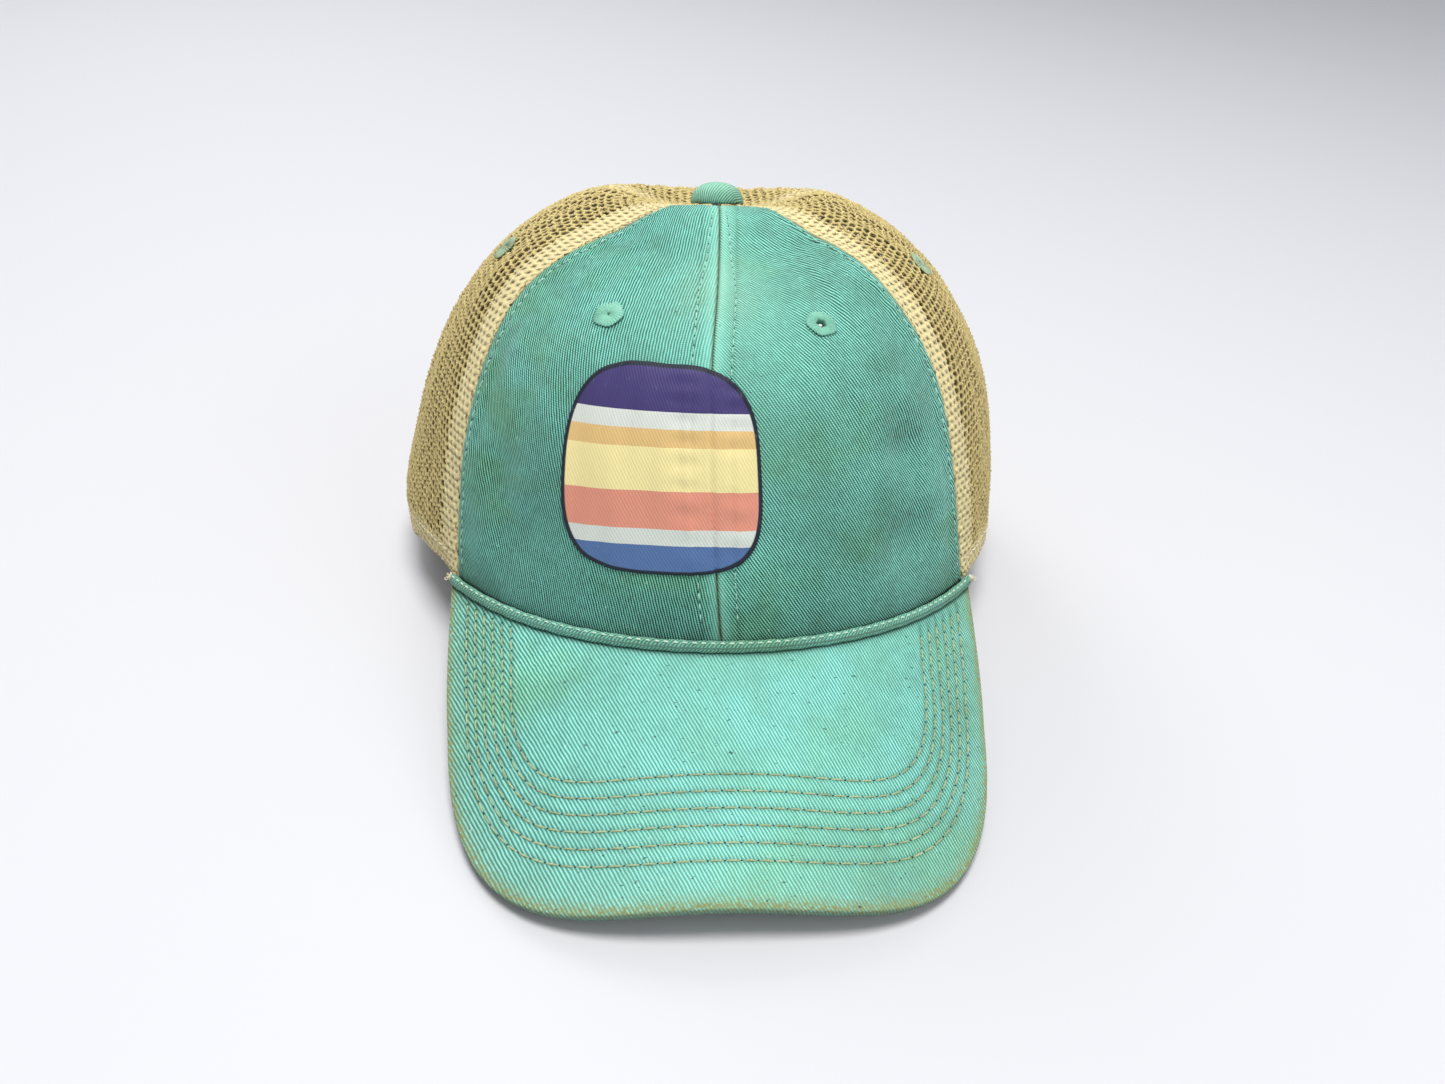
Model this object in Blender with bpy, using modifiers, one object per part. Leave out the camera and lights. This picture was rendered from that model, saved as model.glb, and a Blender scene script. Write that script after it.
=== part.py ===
"""Six-panel mesh-back cap with a curved visor, a sweatband and a plastic snap closure.

Units are metres, +Z up, the visor towards -Y. Every length below is in millimetres
and MM turns it into metres. An angle around the crown is 0 at the front centre seam,
positive towards +X and 180 degrees at the back centre seam. Height along a panel runs
from 0 at the rim to 1 at the top button.
"""

import math

import bmesh
import bpy
from mathutils import Matrix, Vector

MM = 0.001

# Middle of the whole part, front to back, measured from the head's middle
BOX_MIDDLE_Y = -44.4103
BOX_LOW_Z = -0.0412

# Crown
HALF_WIDTH = 96.0
FRONT_REACH = 108.0
BACK_REACH = 88.5
TOP_Y = -10.8
TOP_Z = 119.5
TOP_TILT = math.tan(math.radians(20.0))
FRONT_SEAM = 51.4
REAR_SEAM = 115.0
LEVEL_FROM = 110.0
FRONT_PROFILE = (0.77, 0.88, 1.02, 0.92)
SIDE_PROFILE = (0.99, 0.47, 0.72, 1.16)
BACK_PROFILE = (1.00, 0.52, 0.74, 0.97)
TWILL_PUFF = 0.008
MESH_PUFF = 0.030
PANEL_THICK = 0.9
SEAM_GAP = 0.55
TOP_HOLE = 2.8
PLATEAU_INNER = 0.11
PLATEAU_OUTER = 0.38

# Visor
VISOR_FRONT_Z = 33.95
VISOR_RADIUS = 142.0
VISOR_SLOPE = 0.335
VISOR_LENGTH = 66.9
VISOR_HALF_WIDTH = 74.5
CORNER_WIDTH = 2.0
VISOR_GAP = 0.7
COVER_THICK = 0.6
BOARD_THICK = 2.0
LAYER_GAP = 0.35

# Layers inside the crown, as depths below the outer face of the panels
TAPE_DEPTH = 2.2
TAPE_THICK = 0.5
TAPE_HALF = 6.0
TAPE_TOP_REACH = 13.0
BAND_DEPTH = 3.2
BAND_THICK = 1.0
BAND_HEIGHT = 30.0
BAND_END = 145.0

# Back opening and snap straps
ARCH_HALF = 46.0
ARCH_BASE = 4.0
ARCH_RISE = 50.0
BINDING_WIDTH = 6.0
BINDING_THICK = 0.45
STRAP_AXIS = 43.0
STRAP_TIP = 22.0
STRAP_LOW = 3.6
STRAP_WIDE = 18.0
STRAP_THICK = 1.2
HOLE_STRAP_DEPTH = 2.75
PEG_STRAP_DEPTH = 4.35
STRAP_PITCH = 8.0
PEG_RADIUS = 1.6
HOLE_RADIUS = 2.4
PEG_TALL = 2.2
ROOT_END = 51.5

# Small trim
EYELET_HOLE = 2.8
BUTTON_RADIUS = 8.2
WELT_RADIUS = 1.7

COLOURS = {
    "twill": (0.16, 0.42, 0.36, 1.0),
    "visor_twill": (0.22, 0.52, 0.46, 1.0),
    "knit_mesh": (0.62, 0.52, 0.32, 1.0),
    "cotton_band": (0.17, 0.40, 0.35, 1.0),
    "tape": (0.55, 0.48, 0.33, 1.0),
    "thread": (0.30, 0.60, 0.50, 1.0),
    "board": (0.75, 0.75, 0.70, 1.0),
    "snap_plastic": (0.60, 0.52, 0.34, 1.0),
    "print_film": (0.35, 0.35, 0.55, 1.0),
    "steel": (0.60, 0.60, 0.62, 1.0),
}


def smooth(x):
    x = min(max(x, 0.0), 1.0)
    return x * x * (3.0 - 2.0 * x)


def wrapped(angle):
    return (angle + 180.0) % 360.0 - 180.0


def visor_height(x, y):
    reach = min(abs(x), VISOR_RADIUS * 0.98)
    drop = VISOR_RADIUS - math.sqrt(VISOR_RADIUS**2 - reach**2)
    return VISOR_FRONT_Z - drop + VISOR_SLOPE * (y + FRONT_REACH)


def visor_normal(x):
    reach = max(min(x, VISOR_RADIUS * 0.98), -VISOR_RADIUS * 0.98)
    tilt = reach / math.sqrt(VISOR_RADIUS**2 - reach**2)
    return Vector((tilt, -VISOR_SLOPE, 1.0)).normalized()


def rim_plan(angle):
    turn = math.radians(angle)
    reach = FRONT_REACH if math.cos(turn) > 0 else BACK_REACH
    return HALF_WIDTH * math.sin(turn), -reach * math.cos(turn)


def rim(angle):
    x, y = rim_plan(angle)
    away = abs(wrapped(angle))
    if away <= FRONT_SEAM:
        return Vector((x, y, visor_height(x, y)))
    corner = visor_height(*rim_plan(FRONT_SEAM))
    fall = smooth((away - FRONT_SEAM) / (LEVEL_FROM - FRONT_SEAM))
    return Vector((x, y, corner * (1.0 - fall)))


def bezier(t, start, first, second, end):
    s = 1.0 - t
    return s**3 * start + 3 * s * s * t * first + 3 * s * t * t * second + t**3 * end


def puff(angle, t):
    away = abs(wrapped(angle))
    if away < FRONT_SEAM:
        across, amount = away / FRONT_SEAM, TWILL_PUFF
    elif away < REAR_SEAM:
        across, amount = (away - FRONT_SEAM) / (REAR_SEAM - FRONT_SEAM), MESH_PUFF
    else:
        across, amount = (away - REAR_SEAM) / (180.0 - REAR_SEAM), MESH_PUFF
    return 1.0 + amount * math.sin(math.pi * across) ** 2 * math.sin(math.pi * t)


def crown(angle, t):
    """The outer face of the panels."""
    turn = math.radians(angle)
    base = rim(angle)
    side = math.sin(turn) ** 2
    end = FRONT_PROFILE if math.cos(turn) > 0 else BACK_PROFILE
    r1, h1, r2, h2 = [e * (1 - side) + s * side for e, s in zip(end, SIDE_PROFILE)]
    reach = bezier(t, 1.0, r1, r2, 0.0)
    height = bezier(t, 0.0, h1, h2, 1.0)
    level = smooth((PLATEAU_OUTER - reach) / (PLATEAU_OUTER - PLATEAU_INNER))
    reach *= puff(angle, t)
    y = TOP_Y + (base.y - TOP_Y) * reach
    z = base.z + (TOP_Z - base.z) * height
    flat = TOP_Z - TOP_TILT * (y - TOP_Y)
    return Vector((base.x * reach, y, z + (flat - z) * level))


def across_step(angle, t):
    """How far one degree around the crown moves a point."""
    return (crown(angle + 0.5, t) - crown(angle - 0.5, t)).length


def crown_normal(angle, t):
    t = min(max(t, 0.002), 0.985)
    around = crown(angle + 0.4, t) - crown(angle - 0.4, t)
    up = crown(angle, t + 0.002) - crown(angle, t - 0.002)
    return around.cross(up).normalized()


def layer(angle, t, depth):
    """A point this far under the outer face."""
    return crown(angle, t) - crown_normal(angle, t) * depth


def top_reach(angle, t):
    point = crown(angle, t)
    return math.hypot(point.x, point.y - TOP_Y)


def solve(value, target, low, high):
    """Where a rising or falling value along a panel passes its target."""
    rising = value(high) > value(low)
    for _ in range(40):
        middle = (low + high) / 2
        if (value(middle) < target) == rising:
            low = middle
        else:
            high = middle
    return (low + high) / 2


def t_at_reach(angle, reach):
    return solve(lambda t: top_reach(angle, t), reach, 0.6, 0.9999)


def t_at_length(angle, length):
    base = crown(angle, 0.0)
    return solve(lambda t: (crown(angle, t) - base).length, length, 0.0, 0.6)


def even_heights(angle, low, high, count):
    """count + 1 heights between low and high, evenly spaced along the panel."""
    fine = [low + (high - low) * k / 90 for k in range(91)]
    points = [crown(angle, t) for t in fine]
    lengths = [0.0]
    for before, after in zip(points, points[1:]):
        lengths.append(lengths[-1] + (after - before).length)
    found, k = [low], 0
    for i in range(1, count):
        target = lengths[-1] * i / count
        while lengths[k + 1] < target:
            k += 1
        share = (target - lengths[k]) / (lengths[k + 1] - lengths[k])
        found.append(fine[k] + (fine[k + 1] - fine[k]) * share)
    found.append(high)
    return found


def on_back(x, z):
    """(angle, t) of the point of the back of the crown at this x and z."""
    angle, t = 180.0 - math.degrees(math.asin(x / HALF_WIDTH)), 0.15
    for _ in range(12):
        at = crown(angle, t)
        da = (crown(angle + 0.2, t) - at) / 0.2
        dt = (crown(angle, t + 0.002) - at) / 0.002
        ex, ez = x - at.x, z - at.z
        det = da.x * dt.z - dt.x * da.z
        angle += (ex * dt.z - dt.x * ez) / det
        t += (da.x * ez - ex * da.z) / det
        t = min(max(t, -0.02), 0.95)
    return angle, t


# Scene set-up

for old in list(bpy.data.objects):
    bpy.data.objects.remove(old, do_unlink=True)
bpy.context.scene.unit_settings.system = "METRIC"
bpy.context.scene.unit_settings.scale_length = 1.0

CAP = bpy.data.collections.new("mesh_back_cap")
CUTTERS = bpy.data.collections.new("cutters")
for group in (CAP, CUTTERS):
    bpy.context.scene.collection.children.link(group)
CUTTERS.hide_render = True


def material(name):
    found = bpy.data.materials.get(name)
    if found:
        return found
    found = bpy.data.materials.new(name)
    found.use_nodes = True
    shader = found.node_tree.nodes["Principled BSDF"]
    shader.inputs["Base Color"].default_value = COLOURS[name]
    shader.inputs["Roughness"].default_value = 0.25 if name == "steel" else 0.8
    shader.inputs["Metallic"].default_value = 1.0 if name == "steel" else 0.0
    return found


def add(name, mesh, slot, cutter=False):
    obj = bpy.data.objects.new(name, mesh)
    (CUTTERS if cutter else CAP).objects.link(obj)
    if cutter:
        obj.hide_render = True
        obj.display_type = "WIRE"
    else:
        mesh.materials.append(material(slot))
    return obj


def sheet(name, rows, slot, thick, towards, outwards=False):
    """A grid of points made solid. towards(point) is the side its faces look to."""
    high, wide = len(rows), len(rows[0])
    points = [p * MM for row in rows for p in row]
    faces = []
    for j in range(high - 1):
        for i in range(wide - 1):
            a = j * wide + i
            faces.append((a, a + 1, a + wide + 1, a + wide))
    mesh = bpy.data.meshes.new(name)
    mesh.from_pydata(points, [], faces)
    agree = sum(f.normal.dot(towards(f.center / MM)) for f in mesh.polygons)
    if agree < 0:
        mesh.flip_normals()
    obj = add(name, mesh, slot)
    solid = obj.modifiers.new("thickness", "SOLIDIFY")
    solid.thickness = thick * MM
    solid.offset = 1.0 if outwards else -1.0
    solid.use_even_offset = True
    solid.use_quality_normals = True
    return obj


def cut(obj, cutter, name):
    boolean = obj.modifiers.new(name, "BOOLEAN")
    boolean.operation = "DIFFERENCE"
    boolean.solver = "EXACT"
    boolean.object = cutter


def lathe(name, profile, slot, steps, place):
    """A profile in X and Z turned about Z."""
    closed = profile[0] == profile[-1]
    points = [Vector((x, 0.0, z)) * MM for x, z in (profile[:-1] if closed else profile)]
    edges = [(i, i + 1) for i in range(len(points) - 1)]
    if closed:
        edges.append((len(points) - 1, 0))
    mesh = bpy.data.meshes.new(name)
    mesh.from_pydata(points, edges, [])
    obj = add(name, mesh, slot)
    screw = obj.modifiers.new("turn", "SCREW")
    screw.steps = steps
    screw.render_steps = steps
    screw.use_merge_vertices = True
    screw.merge_threshold = 0.00005
    obj.matrix_world = place
    return obj


def frame_at(origin, normal):
    """A placing that stands local Z along the normal."""
    z = normal.normalized()
    x = Vector((0, 0, 1)).cross(z)
    if x.length < 0.01:
        x = Vector((1, 0, 0))
    x.normalize()
    y = z.cross(x)
    turn = Matrix((x, y, z)).transposed().to_4x4()
    return Matrix.Translation(origin * MM) @ turn


def outward(point):
    return point - Vector((0.0, TOP_Y, 40.0))


def panel(name, first, last, slot, columns, rows):
    columns_up = []
    for i in range(columns + 1):
        angle = first + (last - first) * i / columns
        inward = {0: 1.0, columns: -1.0}.get(i, 0.0) * math.copysign(1.0, last - first)
        column = []
        for t in even_heights(angle, 0.0, t_at_reach(angle, TOP_HOLE), rows):
            trim = inward * SEAM_GAP / 2 / across_step(angle, t)
            column.append(crown(angle + trim, t))
        columns_up.append(column)
    grid = [list(row) for row in zip(*columns_up)]
    return sheet(name, grid, slot, PANEL_THICK, outward)


# Crown panels

PANELS = {}
for side, sign in (("left", -1.0), ("right", 1.0)):
    PANELS["front_panel_" + side] = panel(
        "front_panel_" + side, 0.0, sign * FRONT_SEAM, "twill", 8, 14
    )
    PANELS["side_mesh_panel_" + side] = panel(
        "side_mesh_panel_" + side, sign * FRONT_SEAM, sign * REAR_SEAM, "knit_mesh", 8, 13
    )
    PANELS["back_mesh_panel_" + side] = panel(
        "back_mesh_panel_" + side, sign * REAR_SEAM, sign * 180.0, "knit_mesh", 8, 13
    )


def arch_point(share, out):
    """A point of the back opening's edge, moved away from the opening. 0 and 1 are its feet."""
    straight = ARCH_BASE
    curve = math.pi * math.sqrt((ARCH_HALF**2 + ARCH_RISE**2) / 2)
    along = share * (2 * straight + curve)
    if along < straight:
        return -ARCH_HALF - out, along
    if along > straight + curve:
        return ARCH_HALF + out, 2 * straight + curve - along
    turn = math.pi * (1.0 - (along - straight) / curve)
    x, z = ARCH_HALF * math.cos(turn), ARCH_BASE + ARCH_RISE * math.sin(turn)
    n = Vector((math.cos(turn) / ARCH_HALF, math.sin(turn) / ARCH_RISE)).normalized()
    return x + n.x * out, z + n.y * out


def arch_cutter():
    outline = [(-ARCH_HALF, -10.0)]
    outline += [arch_point(k / 26, 0.0) for k in range(27)]
    outline.append((ARCH_HALF, -10.0))
    mesh = bpy.data.meshes.new("arch_cutter")
    shape = bmesh.new()
    near = [shape.verts.new(Vector((x, 40.0, z)) * MM) for x, z in outline]
    face = shape.faces.new(near)
    made = bmesh.ops.extrude_face_region(shape, geom=[face])["geom"]
    moved = [v for v in made if isinstance(v, bmesh.types.BMVert)]
    bmesh.ops.translate(shape, verts=moved, vec=Vector((0.0, 80.0, 0.0)) * MM)
    bmesh.ops.recalc_face_normals(shape, faces=shape.faces)
    shape.to_mesh(mesh)
    shape.free()
    return add("arch_cutter", mesh, "", cutter=True)


ARCH = arch_cutter()
for side in ("left", "right"):
    cut(PANELS["back_mesh_panel_" + side], ARCH, "back_opening")

BINDING_SECTION = (
    (BINDING_WIDTH, -0.7),
    (0.0, -0.7),
    (-0.75, 0.0),
    (-0.75, 0.9),
    (0.0, 1.65),
    (BINDING_WIDTH, 1.65),
)
binding_rows = []
for out, depth in BINDING_SECTION:
    row = []
    for k in range(31):
        share = 0.004 + 0.992 * k / 30
        row.append(layer(*on_back(*arch_point(share, out)), depth))
    binding_rows.append(row)


def from_arch_edge(point):
    """Away from the panel edge that the binding folds round."""
    angle, t = on_back(point.x, max(point.z, 1.0))
    depth = (crown(angle, t) - point).dot(crown_normal(angle, t))
    return crown_normal(angle, t) * (1.0 if depth < 0.45 else -1.0)


binding = sheet("back_opening_binding", binding_rows, "tape", BINDING_THICK, from_arch_edge, outwards=True)

# Eyelets, one to a panel

EYELETS = {
    "front_panel": (25.0, 0.65),
    "side_mesh_panel": (77.0, 0.63),
    "back_mesh_panel": (148.0, 0.60),
}
EYELET_LOOP = (
    (1.25, 1.55),
    (2.40, 1.80),
    (3.60, 1.60),
    (4.15, 1.05),
    (2.20, 1.00),
    (2.20, -1.80),
    (3.60, -1.90),
    (3.40, -2.40),
    (1.25, -2.40),
    (1.25, 1.55),
)
for family, (angle, t) in EYELETS.items():
    for side, sign in (("left", -1.0), ("right", 1.0)):
        place = frame_at(crown(sign * angle, t), crown_normal(sign * angle, t))
        hole = bmesh.new()
        bmesh.ops.create_cone(
            hole,
            cap_ends=True,
            segments=16,
            radius1=EYELET_HOLE * MM,
            radius2=EYELET_HOLE * MM,
            depth=0.008,
        )
        mesh = bpy.data.meshes.new("eyelet_cutter")
        hole.to_mesh(mesh)
        hole.free()
        cutter = add("eyelet_cutter_" + family + "_" + side, mesh, "", cutter=True)
        cutter.matrix_world = place
        cut(PANELS[family + "_" + side], cutter, "eyelet_hole")
        name = "eyelet_" + family.split("_")[0] + "_" + side
        lathe(name, EYELET_LOOP, "thread", 14, place)

# Seam tapes inside the crown


def tape(name, angle, low):
    rows = []
    top = t_at_reach(angle, TAPE_TOP_REACH)
    for t in even_heights(angle, low, top, 16):
        half = min(TAPE_HALF, 0.36 * top_reach(angle, t))
        turn = half / across_step(angle, t)
        rows.append([layer(angle + k * turn / 2, t, TAPE_DEPTH) for k in (-2, 0, 2)])
    return sheet(name, rows, "tape", TAPE_THICK, outward)


back_low = solve(lambda t: crown(180.0, t).z, ARCH_BASE + ARCH_RISE + BINDING_WIDTH + 3.0, 0.0, 0.6)
tape("seam_tape_front_center", 0.0, 0.01)
tape("seam_tape_front_left", -FRONT_SEAM, 0.01)
tape("seam_tape_front_right", FRONT_SEAM, 0.01)
tape("seam_tape_rear_left", -REAR_SEAM, 0.01)
tape("seam_tape_rear_right", REAR_SEAM, 0.01)
tape("seam_tape_back_center", 180.0, back_low)

# Sweatband

BAND_COLUMNS = 52
band_rows = []
for j in range(3):
    row = []
    for i in range(BAND_COLUMNS + 1):
        angle = BAND_END * (2.0 * i / BAND_COLUMNS - 1.0)
        top = t_at_length(angle, BAND_HEIGHT)
        row.append(layer(angle, 0.006 + (top - 0.006) * j / 2, BAND_DEPTH))
    band_rows.append(row)
sheet("sweatband", band_rows, "cotton_band", BAND_THICK, outward)

# Visor


def visor_outline(out, count):
    """The visor's free edge in plan, from the left corner to the right, evenly spaced."""
    corner_x, corner_y = rim_plan(FRONT_SEAM)
    start_x = corner_x + CORNER_WIDTH
    reach = FRONT_REACH + VISOR_LENGTH + corner_y
    dense = []
    for k in range(801):
        turn = math.pi * (1.0 - k / 800)
        forward = math.sin(turn) ** 0.62 if 0 < k < 800 else 0.0
        half = start_x + (VISOR_HALF_WIDTH - start_x) * min(forward * 2.2, 1.0)
        side = math.copysign(abs(math.cos(turn)) ** 0.5, math.cos(turn))
        dense.append(Vector((half * side, corner_y - reach * forward)))
    if out:
        moved = []
        for k, point in enumerate(dense):
            before, after = dense[max(k - 4, 0)], dense[min(k + 4, 800)]
            along = (after - before).normalized()
            moved.append(point + Vector((along.y, -along.x)) * out)
        dense = moved
    lengths = [0.0]
    for before, after in zip(dense, dense[1:]):
        lengths.append(lengths[-1] + (after - before).length)
    found, k = [], 0
    for i in range(count + 1):
        target = lengths[-1] * i / count
        while k < 799 and lengths[k + 1] < target:
            k += 1
        share = (target - lengths[k]) / max(lengths[k + 1] - lengths[k], 1e-9)
        found.append(dense[k].lerp(dense[k + 1], min(share, 1.0)))
    return found


def visor_root(gap, count):
    """The visor's sewn edge in plan, this far outside the crown."""
    found = []
    for i in range(count + 1):
        angle = FRONT_SEAM * (2.0 * i / count - 1.0)
        x, y = rim_plan(angle)
        ahead, behind = Vector(rim_plan(angle + 0.3)), Vector(rim_plan(angle - 0.3))
        along = (ahead - behind).normalized()
        found.append(Vector((x, y)) + Vector((along.y, -along.x)) * gap)
    return found


def visor_point(plan, depth):
    flat = Vector((plan.x, plan.y, visor_height(plan.x, plan.y)))
    return flat - visor_normal(plan.x) * depth


VISOR_COLUMNS = 34


def visor_rows(inset, depth, rows):
    root = visor_root(VISOR_GAP, VISOR_COLUMNS)
    free = visor_outline(-inset, VISOR_COLUMNS)
    grid = []
    for j in range(rows + 1):
        share = j / rows
        grid.append([visor_point(a.lerp(b, share), depth) for a, b in zip(root, free)])
    return grid


def up(_point):
    return Vector((0.0, 0.0, 1.0))


BOARD_TOP = COVER_THICK + LAYER_GAP
UNDER_TOP = BOARD_TOP + BOARD_THICK + LAYER_GAP
top_rows = visor_rows(0.0, 0.0, 5)
for out, depth in ((0.35, 0.25), (0.5, 0.9), (0.5, UNDER_TOP - LAYER_GAP - 0.1)):
    top_rows.append([visor_point(p, depth) for p in visor_outline(out, VISOR_COLUMNS)])


def visor_out(point):
    middle = Vector((0.0, -FRONT_REACH - 20.0, -30.0))
    return point - middle


sheet("visor_top_cover", top_rows, "visor_twill", COVER_THICK, visor_out)
sheet("visor_board", visor_rows(1.0, BOARD_TOP, 5), "board", BOARD_THICK, up)
sheet("visor_under_cover", visor_rows(0.0, UNDER_TOP, 5), "visor_twill", COVER_THICK, up)

# The rolled welt where the front panels meet the visor

path = bpy.data.curves.new("front_seam_welt", "CURVE")
path.dimensions = "3D"
path.bevel_depth = WELT_RADIUS * MM
path.bevel_resolution = 2
path.use_fill_caps = True
lift = WELT_RADIUS + 0.35
spots = [visor_point(p, -lift) for p in visor_root(lift + 0.1, 32)]
spline = path.splines.new("POLY")
spline.points.add(len(spots) - 1)
for spot, place in zip(spline.points, spots):
    spot.co = (place.x * MM, place.y * MM, place.z * MM, 1.0)
welt = bpy.data.objects.new("front_seam_welt", path)
CAP.objects.link(welt)
path.materials.append(material("twill"))

# Top button

BUTTON_PLACE = frame_at(Vector((0.0, TOP_Y, TOP_Z)), Vector((0.0, TOP_TILT, 1.0)))
BUTTON_COVER = (
    (0.0, 5.6),
    (3.0, 5.4),
    (5.6, 4.6),
    (7.4, 3.2),
    (BUTTON_RADIUS, 1.6),
    (BUTTON_RADIUS - 0.1, 0.8),
    (BUTTON_RADIUS - 0.7, 0.8),
    (BUTTON_RADIUS - 0.65, 1.5),
    (6.9, 2.85),
    (5.3, 4.1),
    (2.9, 4.85),
    (0.0, 5.05),
)
BUTTON_CORE = (
    (0.0, 4.6),
    (2.7, 4.4),
    (4.9, 3.7),
    (6.4, 2.6),
    (7.1, 1.4),
    (7.1, 0.8),
    (1.4, 0.8),
    (1.4, -4.0),
    (0.0, -4.0),
)
BUTTON_BACKING = (
    (1.9, -1.9),
    (6.0, -1.9),
    (6.6, -2.2),
    (6.6, -2.7),
    (6.0, -3.1),
    (1.9, -3.1),
    (1.9, -1.9),
)
lathe("button_cover", BUTTON_COVER, "twill", 24, BUTTON_PLACE)
lathe("button_core", BUTTON_CORE, "steel", 24, BUTTON_PLACE)
lathe("button_backing", BUTTON_BACKING, "steel", 24, BUTTON_PLACE)

# Printed badge on the front panels

BADGE_ANGLE, BADGE_T = -9.0, 0.27
BADGE_HALF_ANGLE, BADGE_HALF_T, BADGE_SKEW = 17.5, 0.225, 0.05
BADGE_CLEAR, BADGE_THICK = 0.95, 0.25


def badge_point(ring, turn):
    """A squarish round outline, with its corners softened."""
    cx, cy = math.cos(turn), math.sin(turn)
    x = math.copysign(abs(cx) ** 0.8, cx) * ring
    y = math.copysign(abs(cy) ** 0.8, cy) * ring
    t = BADGE_T + BADGE_HALF_T * y + BADGE_SKEW * y * y
    return layer(BADGE_ANGLE + BADGE_HALF_ANGLE * x, t, -BADGE_CLEAR)


badge = bmesh.new()
centre = badge.verts.new(badge_point(0.0, 0.0) * MM)
rings = []
for ring in (0.34, 0.67, 1.0):
    turns = [math.tau * (k + 0.5) / 28 for k in range(28)]
    rings.append([badge.verts.new(badge_point(ring, turn) * MM) for turn in turns])
for k in range(28):
    n = (k + 1) % 28
    badge.faces.new((centre, rings[0][k], rings[0][n]))
    for inner, outer in zip(rings, rings[1:]):
        badge.faces.new((inner[k], outer[k], outer[n], inner[n]))
mesh = bpy.data.meshes.new("front_print")
badge.to_mesh(mesh)
badge.free()
if sum(f.normal.dot(outward(f.center / MM)) for f in mesh.polygons) < 0:
    mesh.flip_normals()
film = add("front_print", mesh, "print_film")
film_solid = film.modifiers.new("thickness", "SOLIDIFY")
film_solid.thickness = BADGE_THICK * MM
film_solid.offset = -1.0

# Snap straps. Each is shaped flat, with X along it and Z up, and then laid round the back.


def back_path(along, depth):
    """A point of the level back rim this far from its middle, positive towards +X, and this deep."""
    angle, walked, step = 180.0, 0.0, 0.25
    while walked < abs(along):
        a, b = Vector(rim_plan(angle)), Vector(rim_plan(angle - step))
        piece = (b - a).length
        if walked + piece > abs(along):
            angle -= step * (abs(along) - walked) / piece
            break
        walked += piece
        angle -= step
    if along < 0:
        angle = 360.0 - angle
    at = Vector(rim_plan(angle))
    tangent = (Vector(rim_plan(angle + 0.2)) - Vector(rim_plan(angle - 0.2))).normalized()
    out = Vector((tangent.y, -tangent.x))
    return at - out * depth


def plate(name, start, end, tip, rows):
    """A flat strap along X between start and end. The end at tip is round."""
    shape = bmesh.new()
    half = STRAP_WIDE / 2
    count = 18
    columns = []
    for k in range(count + 1):
        x = start + (end - start) * k / count
        reach = half
        room = abs(tip - x)
        if room < half:
            reach = max(math.sqrt(max(half**2 - (half - room) ** 2, 0.0)), 3.0)
        columns.append((x, reach))
    grid = []
    for x, reach in columns:
        column = []
        for j in range(rows + 1):
            z = reach * (2.0 * j / rows - 1.0)
            column.append(shape.verts.new(Vector((x, 0.0, z)) * MM))
        grid.append(column)
    for before, after in zip(grid, grid[1:]):
        for j in range(rows):
            shape.faces.new((before[j], after[j], after[j + 1], before[j + 1]))
    made = bmesh.ops.extrude_face_region(shape, geom=list(shape.faces))["geom"]
    moved = [v for v in made if isinstance(v, bmesh.types.BMVert)]
    bmesh.ops.translate(shape, verts=moved, vec=Vector((0.0, -STRAP_THICK, 0.0)) * MM)
    bmesh.ops.recalc_face_normals(shape, faces=shape.faces)
    mesh = bpy.data.meshes.new(name)
    shape.to_mesh(mesh)
    shape.free()
    return add(name, mesh, "snap_plastic", cutter=True)


def peg_tool(name, x, radius, low, high):
    shape = bmesh.new()
    bmesh.ops.create_cone(
        shape, cap_ends=True, segments=14, radius1=radius * MM, radius2=radius * MM, depth=(high - low) * MM
    )
    mesh = bpy.data.meshes.new(name)
    shape.to_mesh(mesh)
    shape.free()
    obj = add(name, mesh, "", cutter=True)
    lie = Matrix.Rotation(math.radians(90.0), 4, "X")
    obj.matrix_world = Matrix.Translation(Vector((x, (low + high) / 2, 0.0)) * MM) @ lie
    return obj


def bent(name, flat, depth, pivot):
    """The flat strap, with its modifiers, laid round the back and given its hinge as origin."""
    bpy.context.view_layer.update()
    graph = bpy.context.evaluated_depsgraph_get()
    mesh = bpy.data.meshes.new_from_object(flat.evaluated_get(graph))
    mesh.name = name
    middle = STRAP_LOW + STRAP_WIDE / 2
    base = Vector((0.0, 0.0, 0.0))
    if pivot is not None:
        at = back_path(pivot, depth + STRAP_THICK / 2)
        base = Vector((at.x, at.y, middle)) * MM
    for vertex in mesh.vertices:
        here = vertex.co / MM
        plan = back_path(here.x, depth - here.y)
        vertex.co = Vector((plan.x, plan.y, middle + here.z)) * MM - base
    mesh.materials.clear()
    obj = add(name, mesh, "snap_plastic")
    obj.location = base
    return obj


def rounded_root(flat, x, away):
    """Rounds the hinge end of a flat strap about its axis."""
    bevel = flat.modifiers.new("round_root", "BEVEL")
    bevel.width = STRAP_THICK * 0.48 * MM
    bevel.segments = 3
    bevel.limit_method = "WEIGHT"
    weights = flat.data.attributes.new("bevel_weight_edge", "FLOAT", "EDGE")
    for edge in flat.data.edges:
        ends = [flat.data.vertices[v].co for v in edge.vertices]
        at_root = all(abs(e.x / MM - (x - away * STRAP_THICK / 2)) < 0.01 for e in ends)
        level = abs(ends[0].y - ends[1].y) < 1e-6
        if at_root and level:
            weights.data[edge.index].value = 1.0


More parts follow.
